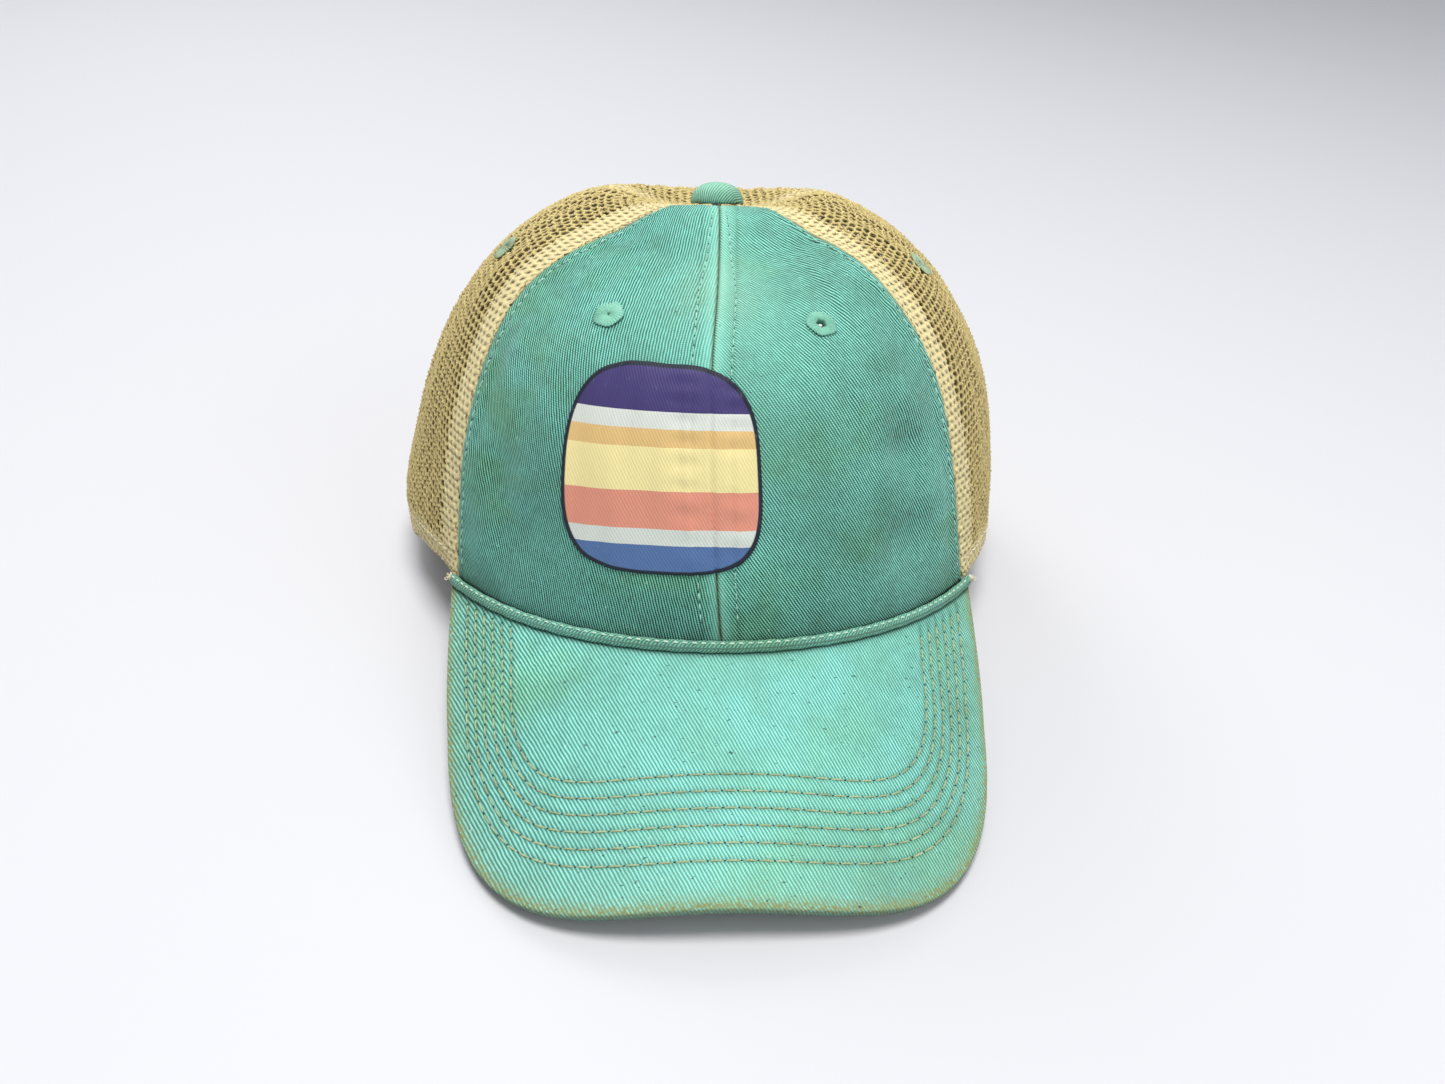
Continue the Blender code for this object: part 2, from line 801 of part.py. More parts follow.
holes_flat = plate("hole_strap_flat", -STRAP_AXIS - STRAP_THICK / 2, STRAP_TIP, STRAP_TIP, 3)
rounded_root(holes_flat, -STRAP_AXIS, 1.0)
for k in range(-4, 3):
    tool = peg_tool("strap_hole_cutter", k * STRAP_PITCH, HOLE_RADIUS, -3.0, 2.0)
    cut(holes_flat, tool, "peg_hole")
bent("hole_strap", holes_flat, HOLE_STRAP_DEPTH, -STRAP_AXIS)

pegs_flat = plate("peg_strap_flat", STRAP_AXIS + STRAP_THICK / 2, -STRAP_TIP, -STRAP_TIP, 3)
rounded_root(pegs_flat, STRAP_AXIS, -1.0)
for k in range(-2, 5):
    tool = peg_tool("strap_peg", k * STRAP_PITCH, PEG_RADIUS, -0.6, PEG_TALL)
    join = pegs_flat.modifiers.new("peg", "BOOLEAN")
    join.operation = "UNION"
    join.solver = "EXACT"
    join.object = tool
bent("peg_strap", pegs_flat, PEG_STRAP_DEPTH, STRAP_AXIS)

for name, depth, sign in (
    ("hole_strap_root", HOLE_STRAP_DEPTH, -1.0),
    ("peg_strap_root", PEG_STRAP_DEPTH, 1.0),
):
    start = sign * (STRAP_AXIS + STRAP_THICK / 2 + 0.4)
    root = plate(name + "_flat", start, sign * ROOT_END, -100.0 * sign, 1)
    bent(name, root, depth, None)

# Everything above is laid out about the head's middle. The part's origin is under the middle of its box.

bpy.context.view_layer.update()
for obj in bpy.data.objects:
    obj.matrix_world = Matrix.Translation(Vector((0.0, -BOX_MIDDLE_Y, -BOX_LOW_Z)) * MM) @ obj.matrix_world
bpy.context.view_layer.update()
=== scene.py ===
"""The looks of a mesh-back cap: washed twill, knitted mesh, stitching, snap straps and a soft print.

Lengths are in millimetres about the head's middle, as the model's own dimensions are, and place() turns
them into the row frame in metres. Angles around the crown are in degrees, 0 at the front centre seam and
positive towards +X. Heights along a panel, called t, run from 0 at the rim to 1 at the button.
"""

import math

import bmesh
import bpy
import numpy as np
from mathutils import Matrix, Vector


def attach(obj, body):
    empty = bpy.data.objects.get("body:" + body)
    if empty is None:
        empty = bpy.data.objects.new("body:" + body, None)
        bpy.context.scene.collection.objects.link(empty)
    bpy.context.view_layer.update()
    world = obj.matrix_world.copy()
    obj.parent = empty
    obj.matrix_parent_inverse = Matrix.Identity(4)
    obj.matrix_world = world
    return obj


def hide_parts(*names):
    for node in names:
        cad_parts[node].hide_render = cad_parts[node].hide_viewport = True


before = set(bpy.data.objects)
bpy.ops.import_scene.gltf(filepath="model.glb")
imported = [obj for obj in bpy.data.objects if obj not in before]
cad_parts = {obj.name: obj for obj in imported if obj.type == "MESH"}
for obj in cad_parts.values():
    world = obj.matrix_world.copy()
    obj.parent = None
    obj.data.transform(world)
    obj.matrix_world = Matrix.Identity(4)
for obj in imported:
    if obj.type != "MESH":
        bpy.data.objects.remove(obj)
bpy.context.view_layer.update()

MM = 0.001
BOX_MIDDLE_Y = -44.4103
BOX_LOW_Z = -0.0412

# The crown and the visor, as the CAD model has them
HALF_WIDTH = 96.0
FRONT_REACH = 108.0
BACK_REACH = 88.5
TOP_Y = -10.8
TOP_Z = 119.5
TOP_TILT = math.tan(math.radians(20.0))
FRONT_SEAM = 51.4
REAR_SEAM = 115.0
LEVEL_FROM = 110.0
FRONT_PROFILE = (0.77, 0.88, 1.02, 0.92)
SIDE_PROFILE = (0.99, 0.47, 0.72, 1.16)
BACK_PROFILE = (1.00, 0.52, 0.74, 0.97)
TWILL_PUFF = 0.008
MESH_PUFF = 0.030
PLATEAU_INNER = 0.11
PLATEAU_OUTER = 0.38
VISOR_FRONT_Z = 33.95
VISOR_RADIUS = 142.0
VISOR_SLOPE = 0.335
VISOR_LENGTH = 66.9
VISOR_HALF_WIDTH = 74.5
CORNER_WIDTH = 2.0
VISOR_GAP = 0.7
COVER_THICK = 0.6
UNDER_TOP = 3.3
TAPE_DEPTH = 2.2
TAPE_HALF = 6.0
BAND_DEPTH = 3.2
BAND_HEIGHT = 30.0
BAND_END = 145.0
ARCH_HALF = 46.0
ARCH_BASE = 4.0
ARCH_RISE = 50.0
BINDING_WIDTH = 6.0
STRAP_AXIS = 43.0
STRAP_TIP = 22.0
STRAP_LOW = 3.6
STRAP_WIDE = 18.0
STRAP_THICK = 1.2
HOLE_STRAP_DEPTH = 2.75
PEG_STRAP_DEPTH = 4.35
STRAP_PITCH = 8.0
CLOTH_THICK = 0.9
EYELETS = {"front": (25.0, 0.65), "side": (77.0, 0.63), "back": (148.0, 0.60)}
EYELET_CUT = 2.6
BADGE_ANGLE, BADGE_T = -9.0, 0.27
BADGE_HALF_ANGLE, BADGE_HALF_T, BADGE_SKEW = 17.5, 0.225, 0.05

# Looks of the visual model only
CLOTH_SLIP = 3.3  # degrees that the worn front has turned to one side
CENTRE_STITCH = 4.9  # distances of the stitching from its seam
SIDE_STITCH = 2.8
REAR_STITCH = 3.0
HEM_STITCH = 6.2
CELL_WIDE, CELL_TALL = 2.72, 2.24  # one cell of the knit
SEAM_EDGE = 0.30  # how far the knit stays from the line of a seam
SIDES = (("left", -1.0), ("right", 1.0))

rng = np.random.default_rng(7)


# Shapes as arrays: every angle and height may be an array, and a point's axis is the last one


def smooth(x):
    x = np.clip(x, 0.0, 1.0)
    return x * x * (3.0 - 2.0 * x)


def fading(x, start, width):
    """1 up to start, and then 0 after this width."""
    return 1.0 - smooth((x - start) / width)


def groove(distance, at, wide=0.55):
    return np.exp(-(((distance - at) / wide) ** 2))


def wrapped(angle):
    return (np.asarray(angle, float) + 180.0) % 360.0 - 180.0


def unit(v):
    return v / np.maximum(np.linalg.norm(v, axis=-1, keepdims=True), 1e-12)


def walked(points):
    """Distance walked along the first axis of a row or a grid of points."""
    step = np.linalg.norm(np.diff(points, axis=0), axis=-1)
    return np.concatenate([np.zeros_like(step[:1]), np.cumsum(step, axis=0)])


def between(at, known, rows):
    """Rows of numbers interpolated at these places."""
    return np.stack([np.interp(at, known, column) for column in rows.T], -1)


def sideways(along):
    """The direction square to a path in plan, to its right."""
    return np.stack([along[..., 1], -along[..., 0]], -1)


def visor_height(x, y):
    reach = np.minimum(np.abs(x), VISOR_RADIUS * 0.98)
    drop = VISOR_RADIUS - np.sqrt(VISOR_RADIUS**2 - reach**2)
    return VISOR_FRONT_Z - drop + VISOR_SLOPE * (y + FRONT_REACH)


def rim_plan(angle):
    turn = np.radians(angle)
    reach = np.where(np.cos(turn) > 0, FRONT_REACH, BACK_REACH)
    return HALF_WIDTH * np.sin(turn), -reach * np.cos(turn)


CORNER_Z = float(visor_height(*rim_plan(FRONT_SEAM)))


def bezier(t, start, first, second, end):
    s = 1.0 - t
    return s**3 * start + 3 * s * s * t * first + 3 * s * t * t * second + t**3 * end


def puff(angle, t):
    """How much each panel swells between its seams."""
    away = np.abs(wrapped(angle))
    front = away / FRONT_SEAM
    side = (away - FRONT_SEAM) / (REAR_SEAM - FRONT_SEAM)
    back = (away - REAR_SEAM) / (180.0 - REAR_SEAM)
    across = np.where(away < FRONT_SEAM, front, np.where(away < REAR_SEAM, side, back))
    amount = np.where(away < FRONT_SEAM, TWILL_PUFF, MESH_PUFF)
    return 1.0 + amount * np.sin(np.pi * across) ** 2 * np.sin(np.pi * t)


def skew(angle, t):
    """How many degrees the worn cap's cloth has slipped round."""
    front = fading(np.abs(wrapped(angle)), 62.0, 50.0)
    return -CLOTH_SLIP * np.sin(np.pi * np.clip(t, 0.0, 1.0)) ** 0.8 * front


def plain_crown(angle, t):
    """The crown's even shape, as the CAD model has it, with the cloth's slip."""
    angle, t = np.broadcast_arrays(np.asarray(angle, float), np.asarray(t, float))
    swell = puff(angle, t)
    angle = angle + skew(angle, t)
    turn = np.radians(angle)
    x0, y0 = rim_plan(angle)
    away = np.abs(wrapped(angle))
    fall = fading(away, FRONT_SEAM, LEVEL_FROM - FRONT_SEAM)
    z0 = np.where(away <= FRONT_SEAM, visor_height(x0, y0), CORNER_Z * fall)
    side = np.sin(turn) ** 2
    ahead = np.cos(turn) > 0
    r1, h1, r2, h2 = [
        np.where(ahead, f, b) * (1 - side) + s * side
        for f, b, s in zip(FRONT_PROFILE, BACK_PROFILE, SIDE_PROFILE)
    ]
    reach = bezier(t, 1.0, r1, r2, 0.0)
    height = bezier(t, 0.0, h1, h2, 1.0)
    level = smooth((PLATEAU_OUTER - reach) / (PLATEAU_OUTER - PLATEAU_INNER))
    reach = reach * swell
    y = TOP_Y + (y0 - TOP_Y) * reach
    z = z0 + (TOP_Z - z0) * height
    flat = TOP_Z - TOP_TILT * (y - TOP_Y)
    return np.stack([x0 * reach, y, z + (flat - z) * level], -1)


def outward(angle, t):
    t = np.clip(t, 0.002, 0.985)
    around = plain_crown(angle + 0.4, t) - plain_crown(angle - 0.4, t)
    rise = plain_crown(angle, t + 0.002) - plain_crown(angle, t - 0.002)
    return unit(np.cross(around, rise))


# Soft dents, and bulges where the depth is negative:
# (angle, height, half-width in degrees, half-height, depth)
DENTS = (
    (-44.0, 0.34, 4.5, 0.06, 1.0),
    (-40.5, 0.24, 4.5, 0.06, 1.9),
    (-35.0, 0.13, 5.5, 0.06, 2.0),
    (-31.0, 0.05, 6.0, 0.05, 0.8),
    (-47.0, 0.22, 3.0, 0.04, -0.8),
    (-44.0, 0.11, 3.5, 0.04, -0.7),
    (38.0, 0.30, 6.5, 0.05, 2.2),
    (41.0, 0.42, 5.0, 0.05, -0.9),
    (42.0, 0.20, 4.5, 0.04, -0.8),
    (37.0, 0.11, 6.0, 0.055, 2.1),
    (30.0, 0.26, 8.0, 0.09, 0.6),
    (-27.0, 0.42, 7.0, 0.10, 0.6),
    (14.0, 0.55, 5.0, 0.10, 0.5),
    (-68.0, 0.16, 8.0, 0.10, 1.4),
    (72.0, 0.22, 8.0, 0.10, 1.2),
    (-96.0, 0.35, 9.0, 0.12, 1.5),
    (98.0, 0.40, 9.0, 0.14, 1.5),
    (137.0, 0.55, 10.0, 0.10, 1.2),
    (-150.0, 0.66, 9.0, 0.09, 1.2),
    (-84.0, 0.05, 22.0, 0.14, -4.0),
    (-60.0, 0.62, 16.0, 0.14, -2.2),
    (44.0, 0.74, 14.0, 0.10, -1.6),
)


def softness(angle, t):
    """How far the cloth lies inside its even shape. It fades out at the rim, but less at the sides."""
    angle = wrapped(angle)
    deep = np.zeros(np.broadcast(angle, t).shape)
    for at, up, wide, tall, amount in DENTS:
        deep = deep + amount * groove(angle, at, wide) * groove(t, up, tall)
    ripple = 0.28 * np.sin(angle * 0.55 + 4.0 * t + 1.3) * np.sin(t * 9.0 + angle * 0.06)
    ripple = ripple + 0.13 * np.sin(angle * 1.3 - 11.0 * t) * np.sin(6.0 * t + 0.09 * angle)
    aside = smooth((np.abs(angle) - 58.0) / 14.0) * fading(np.abs(angle), 104.0, 16.0)
    return (deep + ripple) * np.maximum(smooth(t / 0.06), 0.85 * aside) * smooth((0.93 - t) / 0.12)


def layer(angle, t, depth):
    """Points this far under the outer face of the cloth."""
    return plain_crown(angle, t) - outward(angle, t) * (softness(angle, t) + depth)[..., None]


def lifted(angle, t, lift):
    """Points this far over the outer face, and the way the cloth faces there."""
    return layer(angle, t, -lift), outward(angle, t)


def across_step(angle, t):
    """Millimetres per degree around the crown."""
    return np.linalg.norm(plain_crown(angle + 0.5, t) - plain_crown(angle - 0.5, t), axis=-1)


def top_reach(angle, t):
    p = plain_crown(angle, t)
    return np.hypot(p[..., 0], p[..., 1] - TOP_Y)


def t_at_reach(angle, reach):
    """The height at this distance from the button's axis."""
    fine = np.linspace(0.6, 0.9999, 500)
    return float(np.interp(-reach, -top_reach(angle, fine), fine))


def t_at_length(angle, length):
    """The height this far up the cloth from the rim."""
    fine = np.linspace(0.0, 0.8, 160)
    return float(np.interp(length, walked(plain_crown(angle, fine)), fine))


def t_along(angles, length, every):
    """t_at_length at many angles, worked out at one in so many of them."""
    t = [t_at_length(angle, length) for angle in angles[::every]]
    return np.interp(np.arange(len(angles)), np.arange(0, len(angles), every), t)


def even_heights(angle, low, high, count):
    fine = np.linspace(low, high, 200)
    walk = walked(plain_crown(angle, fine))
    return np.interp(np.linspace(0, walk[-1], count + 1), walk, fine)


def on_back(x, z):
    """(angle, t) of the points of the back of the crown at these x and z."""
    angle = 180.0 - np.degrees(np.arcsin(np.clip(x / HALF_WIDTH, -0.99, 0.99)))
    t = np.full_like(angle, 0.15)
    for _ in range(12):
        at = plain_crown(angle, t)
        da = (plain_crown(angle + 0.2, t) - at) / 0.2
        dt = (plain_crown(angle, t + 0.002) - at) / 0.002
        ex, ez = x - at[..., 0], z - at[..., 2]
        det = da[..., 0] * dt[..., 2] - dt[..., 0] * da[..., 2]
        angle = angle + (ex * dt[..., 2] - dt[..., 0] * ez) / det
        t = t + (da[..., 0] * ez - ex * da[..., 2]) / det
        t = np.clip(t, -0.02, 0.95)
    return angle, t


def place(points):
    """Millimetres about the head's middle to the row frame in metres."""
    return (np.asarray(points, float) - np.array([0.0, BOX_MIDDLE_Y, BOX_LOW_Z])) * MM


# Meshes


def added(name, data):
    obj = bpy.data.objects.new(name, data)
    bpy.context.scene.collection.objects.link(obj)
    return obj


def build(name, points, faces, look, uv=None, marks=None, body="cap"):
    """A piece in place, which stands in for the CAD node of its name if there is one.

    uv holds cloth coordinates in metres per point, and marks named values per point."""
    mesh = bpy.data.meshes.new(name)
    mesh.from_pydata(place(points).tolist(), [], [tuple(map(int, f)) for f in faces])
    if uv is not None:
        loops = np.empty(len(mesh.loops), np.int32)
        mesh.loops.foreach_get("vertex_index", loops)
        cloth_uv = mesh.uv_layers.new(name="cloth")
        cloth_uv.data.foreach_set("uv", np.asarray(uv, np.float32)[loops].ravel())
    for key, values in (marks or {}).items():
        found = mesh.attributes.new(key, "FLOAT", "POINT")
        found.data.foreach_set("value", np.asarray(values, np.float32))
    mesh.validate()
    mesh.polygons.foreach_set("use_smooth", [True] * len(mesh.polygons))
    mesh.materials.append(look)
    obj = added(name, mesh)
    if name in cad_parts:
        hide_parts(name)
    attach(obj, body)
    return obj


def faced_out(obj, weld=None, bridge=False, split=False):
    """Turns closed shells to face out.

    First it joins points closer than weld, in mm, and open rims, or splits faces of more than four sides."""
    shape = bmesh.new()
    shape.from_mesh(obj.data)
    if weld:
        bmesh.ops.remove_doubles(shape, verts=shape.verts, dist=weld * MM)
    if bridge:
        bmesh.ops.bridge_loops(shape, edges=[edge for edge in shape.edges if edge.is_boundary])
        for face in shape.faces:
            face.smooth = True
    if split:
        many_sided = [face for face in shape.faces if len(face.verts) > 4]
        bmesh.ops.triangulate(shape, faces=many_sided, ngon_method="BEAUTY")
    bmesh.ops.recalc_face_normals(shape, faces=shape.faces)
    shape.to_mesh(obj.data)
    shape.free()
    return obj


def grid_faces(high, wide, offset=0, loop=False):
    j, i = np.meshgrid(np.arange(high - 1), np.arange(wide if loop else wide - 1), indexing="ij")
    a = j * wide + i
    b = j * wide + (i + 1) % wide
    return np.stack([a, b, b + wide, a + wide], -1).reshape(-1, 4) + offset


def tube_faces(rings, around, offset=0):
    """Faces of a tube of rings of points, with both ends closed."""
    ends = [tuple(range(offset + k * around, offset + (k + 1) * around)) for k in (0, rings - 1)]
    return [tuple(f) for f in grid_faces(rings, around, offset, loop=True)] + ends


def shell(outer, inner):
    """Points and faces of a closed sheet between two grids of the same shape, outer looking out."""
    high, wide = outer.shape[:2]
    n = high * wide
    index = np.arange(n).reshape(high, wide)
    ring = np.concatenate([index[0], index[1:, -1], index[-1, -2::-1], index[-2:0:-1, 0]])
    follow = np.roll(ring, -1)
    rim = np.stack([follow, ring, ring + n, follow + n], -1)
    faces = np.concatenate([grid_faces(high, wide), grid_faces(high, wide, n)[:, ::-1], rim])
    return np.concatenate([outer.reshape(-1, 3), inner.reshape(-1, 3)]), faces


def closed(points, faces):
    """Four-sided faces turned so that the closed mesh faces out."""
    a, b, c, d = (points[faces[:, k]] - points.mean(0) for k in range(4))
    volume = (np.cross(a, b) * c).sum() + (np.cross(a, c) * d).sum()
    return faces if volume > 0 else faces[:, ::-1]


def sheet_piece(name, outer, inner, look, uv, marks=None):
    """A closed piece between two grids, with the same cloth coordinates and marks on both."""
    points, faces = shell(outer, inner)
    both = {key: np.tile(value.ravel(), 2) for key, value in (marks or {}).items()}
    uv = np.tile(uv.reshape(-1, 2), (2, 1))
    return build(name, points, closed(points, faces), look, uv, both)


def cloth(width, length, area):
    """Takes a piece's cloth sizes in mm as numbers, and does nothing with them."""
    width, length, area = float(width), float(length), float(min(area, width * length))


def grid_area(points):
    du = points[:-1, 1:] - points[:-1, :-1]
    dv = points[1:, :-1] - points[:-1, :-1]
    return float(np.linalg.norm(np.cross(du, dv), axis=-1).sum())


def circle(count, phase=0.0):
    """Cosines and sines of even turns."""
    turns = (np.arange(count) + phase) * math.tau / count
    return np.cos(turns), np.sin(turns)


# A stitch from end to end: (share of its length, width, lift off the cloth), the last two in radii
STITCH_HALF = ((0.0, 0.12, -0.9), (0.08, 0.75, -0.35), (0.28, 1.0, 0.45), (0.5, 1.02, 0.62))
STITCH_RINGS = np.array(STITCH_HALF + tuple((1.0 - share, *rest) for share, *rest in STITCH_HALF[2::-1]))
STITCH_SIDES = 6


def stitches(name, path, normals, look, pitch, fill, radius):
    """A row of lockstitches along a path that lies on the cloth."""
    walk = walked(path)
    share, wide, lift = STITCH_RINGS.T
    cos, sin = (part[:, None] for part in circle(STITCH_SIDES))
    points, faces = [], []
    for k in range(int(walk[-1] / pitch)):
        start = (k + 0.5 - fill / 2 + rng.uniform(-0.03, 0.03)) * pitch
        lean = rng.uniform(-0.10, 0.10)
        ring_at = start + share * pitch * fill
        at = between(ring_at, walk, path)
        up = unit(between(ring_at, walk, normals))
        side = unit(np.cross(up, unit(at[-1] - at[0])))
        centre = at + up * (radius * lift)[:, None] + side * ((share - 0.5) * lean)[:, None]
        around = side[:, None] * cos + up[:, None] * sin
        faces += tube_faces(len(share), STITCH_SIDES, len(points))
        points += list((centre[:, None] + around * (radius * wide)[:, None, None]).reshape(-1, 3))
    return faced_out(build(name, np.array(points), faces, look))


def needle_holes(name, path, normals, pitch, size, lift=0.05):
    """The pits between the stitches, as small dark plugs of painted shade set into the cloth."""
    walk = walked(path)
    spots = np.arange(0.0, walk[-1], pitch)
    at, up = between(spots, walk, path), unit(between(spots, walk, normals))
    along = unit(np.gradient(at, axis=0))
    side = unit(np.cross(up, along))
    cos, sin = (part[:, None] for part in circle(6))
    flat = (along[:, None] * cos * 1.1 + side[:, None] * sin * 0.9) * size
    rings = np.stack([(at + up * level)[:, None] + flat for level in (lift, lift - 0.3)], 1)
    faces = [face for k in range(len(at)) for face in tube_faces(2, 6, k * 12)]
    return faced_out(build(name, rings.reshape(-1, 3), faces, LOOK["pit_shade"]))


# Materials


class Maker:
    """Short ways to make a material's nodes."""

    def __init__(self, name):
        self.material = bpy.data.materials.new(name)
        self.material.use_nodes = True
        self.tree = self.material.node_tree
        self.shader = self.tree.nodes["Principled BSDF"].inputs

    def node(self, kind, settings=None, **inputs):
        made = self.tree.nodes.new(kind)
        for key, value in (settings or {}).items():
            setattr(made, key, value)
        for key, value in inputs.items():
            self.put(made.inputs[key.replace("_", " ")], value)
        return made

    def put(self, socket, value):
        if isinstance(value, bpy.types.NodeSocket):
            self.tree.links.new(value, socket)
        elif value is not None:
            socket.default_value = value

    def math(self, operation, a, b=None, c=None, clamp=False):
        made = self.node("ShaderNodeMath", {"operation": operation, "use_clamp": clamp})
        for socket, value in zip(made.inputs, (a, b, c)):
            self.put(socket, value)
        return made.outputs[0]

    def times(self, a, b, plus=None, clamp=False):
        return self.math("MULTIPLY" if plus is None else "MULTIPLY_ADD", a, b, plus, clamp)

    def wave(self, phase):
        """A sine between 0 and 1."""
        return self.times(self.math("SINE", phase), 0.5, 0.5)

    def mix(self, share, a, b, blend="MIX"):
        """b over a. Either may be a colour from 0 to 255."""
        a, b = (rgb(*colour) if isinstance(colour, tuple) else colour for colour in (a, b))
        settings = {"data_type": "RGBA", "blend_type": blend}
        return self.node("ShaderNodeMix", settings, Factor=share, A=a, B=b).outputs["Result"]

    def cloth(self):
        return self.node("ShaderNodeUVMap", {"uv_map": "cloth"}).outputs["UV"]

    def place(self):
        return self.node("ShaderNodeTexCoord").outputs["Object"]

    def turned(self, vector, angle):
        turn = (0.0, 0.0, math.radians(angle))
        return self.node("ShaderNodeMapping", Vector=vector, Rotation=turn).outputs["Vector"]

    def noise(self, vector, scale, detail=3.0, rough=0.55):
        """Soft noise. scale may be one number, or three to stretch it."""
        if isinstance(scale, tuple):
            vector = self.node("ShaderNodeMapping", Vector=vector, Scale=scale).outputs["Vector"]
            scale = 1.0
        inputs = {"Vector": vector, "Scale": scale, "Detail": detail, "Roughness": rough}
        return self.node("ShaderNodeTexNoise", **inputs).outputs["Fac"]

    def parts(self, vector):
        made = self.node("ShaderNodeSeparateXYZ", Vector=vector)
        return made.outputs["X"], made.outputs["Y"]

    def mark(self, name):
        return self.node("ShaderNodeAttribute", {"attribute_name": name}).outputs["Fac"]

    def ramp(self, share, low, high):
        """0 below low, 1 above high."""
        inputs = {"Value": share, "From_Min": low, "From_Max": high}
        return self.node("ShaderNodeMapRange", {"clamp": True}, **inputs).outputs["Result"]

    def finish(self, colour, height, distance, strength, rough, sheen=0.0, specular=0.25):
        """The finished material, with height as its bump over this distance in metres."""
        bump = self.node("ShaderNodeBump", Height=height, Distance=distance, Strength=strength)
        self.put(self.shader["Base Color"], colour)
        self.put(self.shader["Normal"], bump.outputs["Normal"])
        self.put(self.shader["Roughness"], rough)
        self.shader["Specular IOR Level"].default_value = specular
        if sheen:
            self.shader["Sheen Weight"].default_value = sheen
            self.shader["Sheen Roughness"].default_value = 0.5
        return self.material


def rgb(r, g, b):
    """A colour as seen, from 0 to 255, to the shader's linear values."""
    linear = [((c / 255 + 0.055) / 1.055) ** 2.4 if c > 10.3 else c / 255 / 12.92 for c in (r, g, b)]
    return (*linear, 1.0)


RIB_PITCH = 0.00085
YARN_PITCH = 0.00062


def twill(name, valley, rib, turn, pitch=RIB_PITCH, worn=(186, 190, 146), faded=None, flecks=0.735):
    """Washed cotton twill: slanting ribs with painted shade and highlight, uneven dye, pale worn marks,
    painted shade where marked, and dark specks.
    """
    m = Maker(name)
    flat, spot = m.cloth(), m.place()
    slant = m.turned(flat, turn)
    x, y = m.parts(slant)
    # Slightly wavy ribs, each of slanting yarns, with a streaky tone. The ribs are the twill's own, but the
    # strong contrast between the valley and rib colours is painted shade in the valleys and painted highlight
    # on the crests
    wobble = m.times(m.math("SUBTRACT", m.noise(flat, 260.0, 2.0), 0.5), 0.0005)
    phase = m.times(m.math("ADD", x, wobble), math.tau / pitch)
    yarn = m.wave(m.times(y, math.tau / YARN_PITCH, m.times(phase, 0.5)))
    height = m.times(m.wave(phase), m.times(yarn, 0.35, 0.65))
    streak = m.math("SUBTRACT", m.noise(slant, (1500.0, 420.0, 1.0), 2.0, 0.6), 0.5)
    shade = m.times(streak, 0.7, m.times(height, 1.25, -0.10), clamp=True)
    base = m.mix(shade, valley, rib)
    # Uneven washing and yellowed patches
    cloud = m.times(m.noise(spot, 28.0, 4.0, 0.6), 0.7)
    mottle = m.ramp(m.times(m.noise(spot, 150.0, 4.0, 0.65), 0.4, cloud), 0.42, 0.70)
    base = m.mix(0.85, base, m.mix(mottle, (206, 204, 196), (255, 255, 255)), "MULTIPLY")
    aged = m.ramp(m.noise(spot, (24.0, 24.0, 38.4), 3.0, 0.6), 0.50, 0.72)
    base = m.mix(m.times(aged, 0.62), base, (232, 228, 176), "MULTIPLY")
    # Faded and worn places, and painted shade, as marked on the mesh
    wear_and_painted_shade = m.times(m.mark("wear_and_painted_shade"), m.ramp(m.noise(flat, 900.0, 3.0, 0.7), 0.25, 0.65), clamp=True)
    base = m.mix(m.times(m.mark("pale"), 0.55), base, faded or rib)
    base = m.mix(wear_and_painted_shade, base, worn)
    base = m.mix(m.mark("shade"), base, (70, 92, 78), "MULTIPLY")
    # Dark specks and pale ones
    dark = m.ramp(m.noise(flat, (520.0, 900.0, 1.0), 2.0, 0.5), flecks, flecks + 0.03)
    base = m.mix(m.times(dark, 0.75), base, (38, 62, 56))
    light = m.ramp(m.noise(flat, (700.0, 380.0, 7.0), 2.0, 0.5), 0.72, 0.77)
    base = m.mix(m.times(light, 0.4), base, (205, 235, 222))
    surface = m.times(m.noise(flat, 5200.0, 2.0), 0.22, height)
    return m.finish(base, surface, 0.00022, 0.8, 0.92, sheen=0.12)


def knit(name, light, dark, bump):
    """Knitted polyester yarn: fine twisted threads with painted highlights where they turn up, and painted
    shade in the holes.
    """
    m = Maker(name)
    flat = m.cloth()
    x, y = m.parts(flat)
    twist = m.math("SINE", m.times(x, 9000.0, m.times(y, 16000.0)))
    lift = m.times(twist, 0.25, m.noise(flat, 4200.0, 3.0, 0.7))
    # The tone is partly random and partly painted light: lighter where the twist lifts the yarn, darker
    # between
    tone = m.times(m.noise(flat, 420.0, 3.0, 0.6), 0.8, m.times(lift, 0.5), clamp=True)
    base = m.mix(m.ramp(tone, 0.30, 0.95), dark, light)
    base = m.mix(m.times(m.mark("pale"), 0.45), base, (255, 244, 196))
    # Painted shade inside the holes, as the mesh marks it
    base = m.mix(m.mark("wear_and_painted_shade"), base, (112, 96, 54))
    return m.finish(base, lift, bump, 0.7, 0.62, sheen=0.1)


def woven(name, light, dark, pitch=0.0007):
    """Plain woven tape or band."""
    m = Maker(name)
    flat = m.cloth()
    over, under = (m.math("SINE", m.times(part, math.tau / pitch)) for part in m.parts(flat))
    weave = m.times(m.times(over, under), 0.5, 0.5)
    tone = m.times(m.noise(flat, 2600.0, 3.0, 0.7), 0.6, m.times(weave, 0.45), clamp=True)
    base = m.mix(m.ramp(tone, 0.15, 0.8), dark, light)
    return m.finish(base, weave, 0.00012, 0.7, 0.9, sheen=0.1)


def thread(name, light, dark):
    m = Maker(name)
    spot = m.place()
    fibre = m.noise(spot, 3000.0, 2.0, 0.7)
    tone = m.times(fibre, 0.5, m.times(m.noise(spot, 160.0, 2.0), 0.5))
    base = m.mix(m.ramp(tone, 0.3, 0.7), dark, light)
    return m.finish(base, fibre, 0.00006, 0.6, 0.7, sheen=0.1)


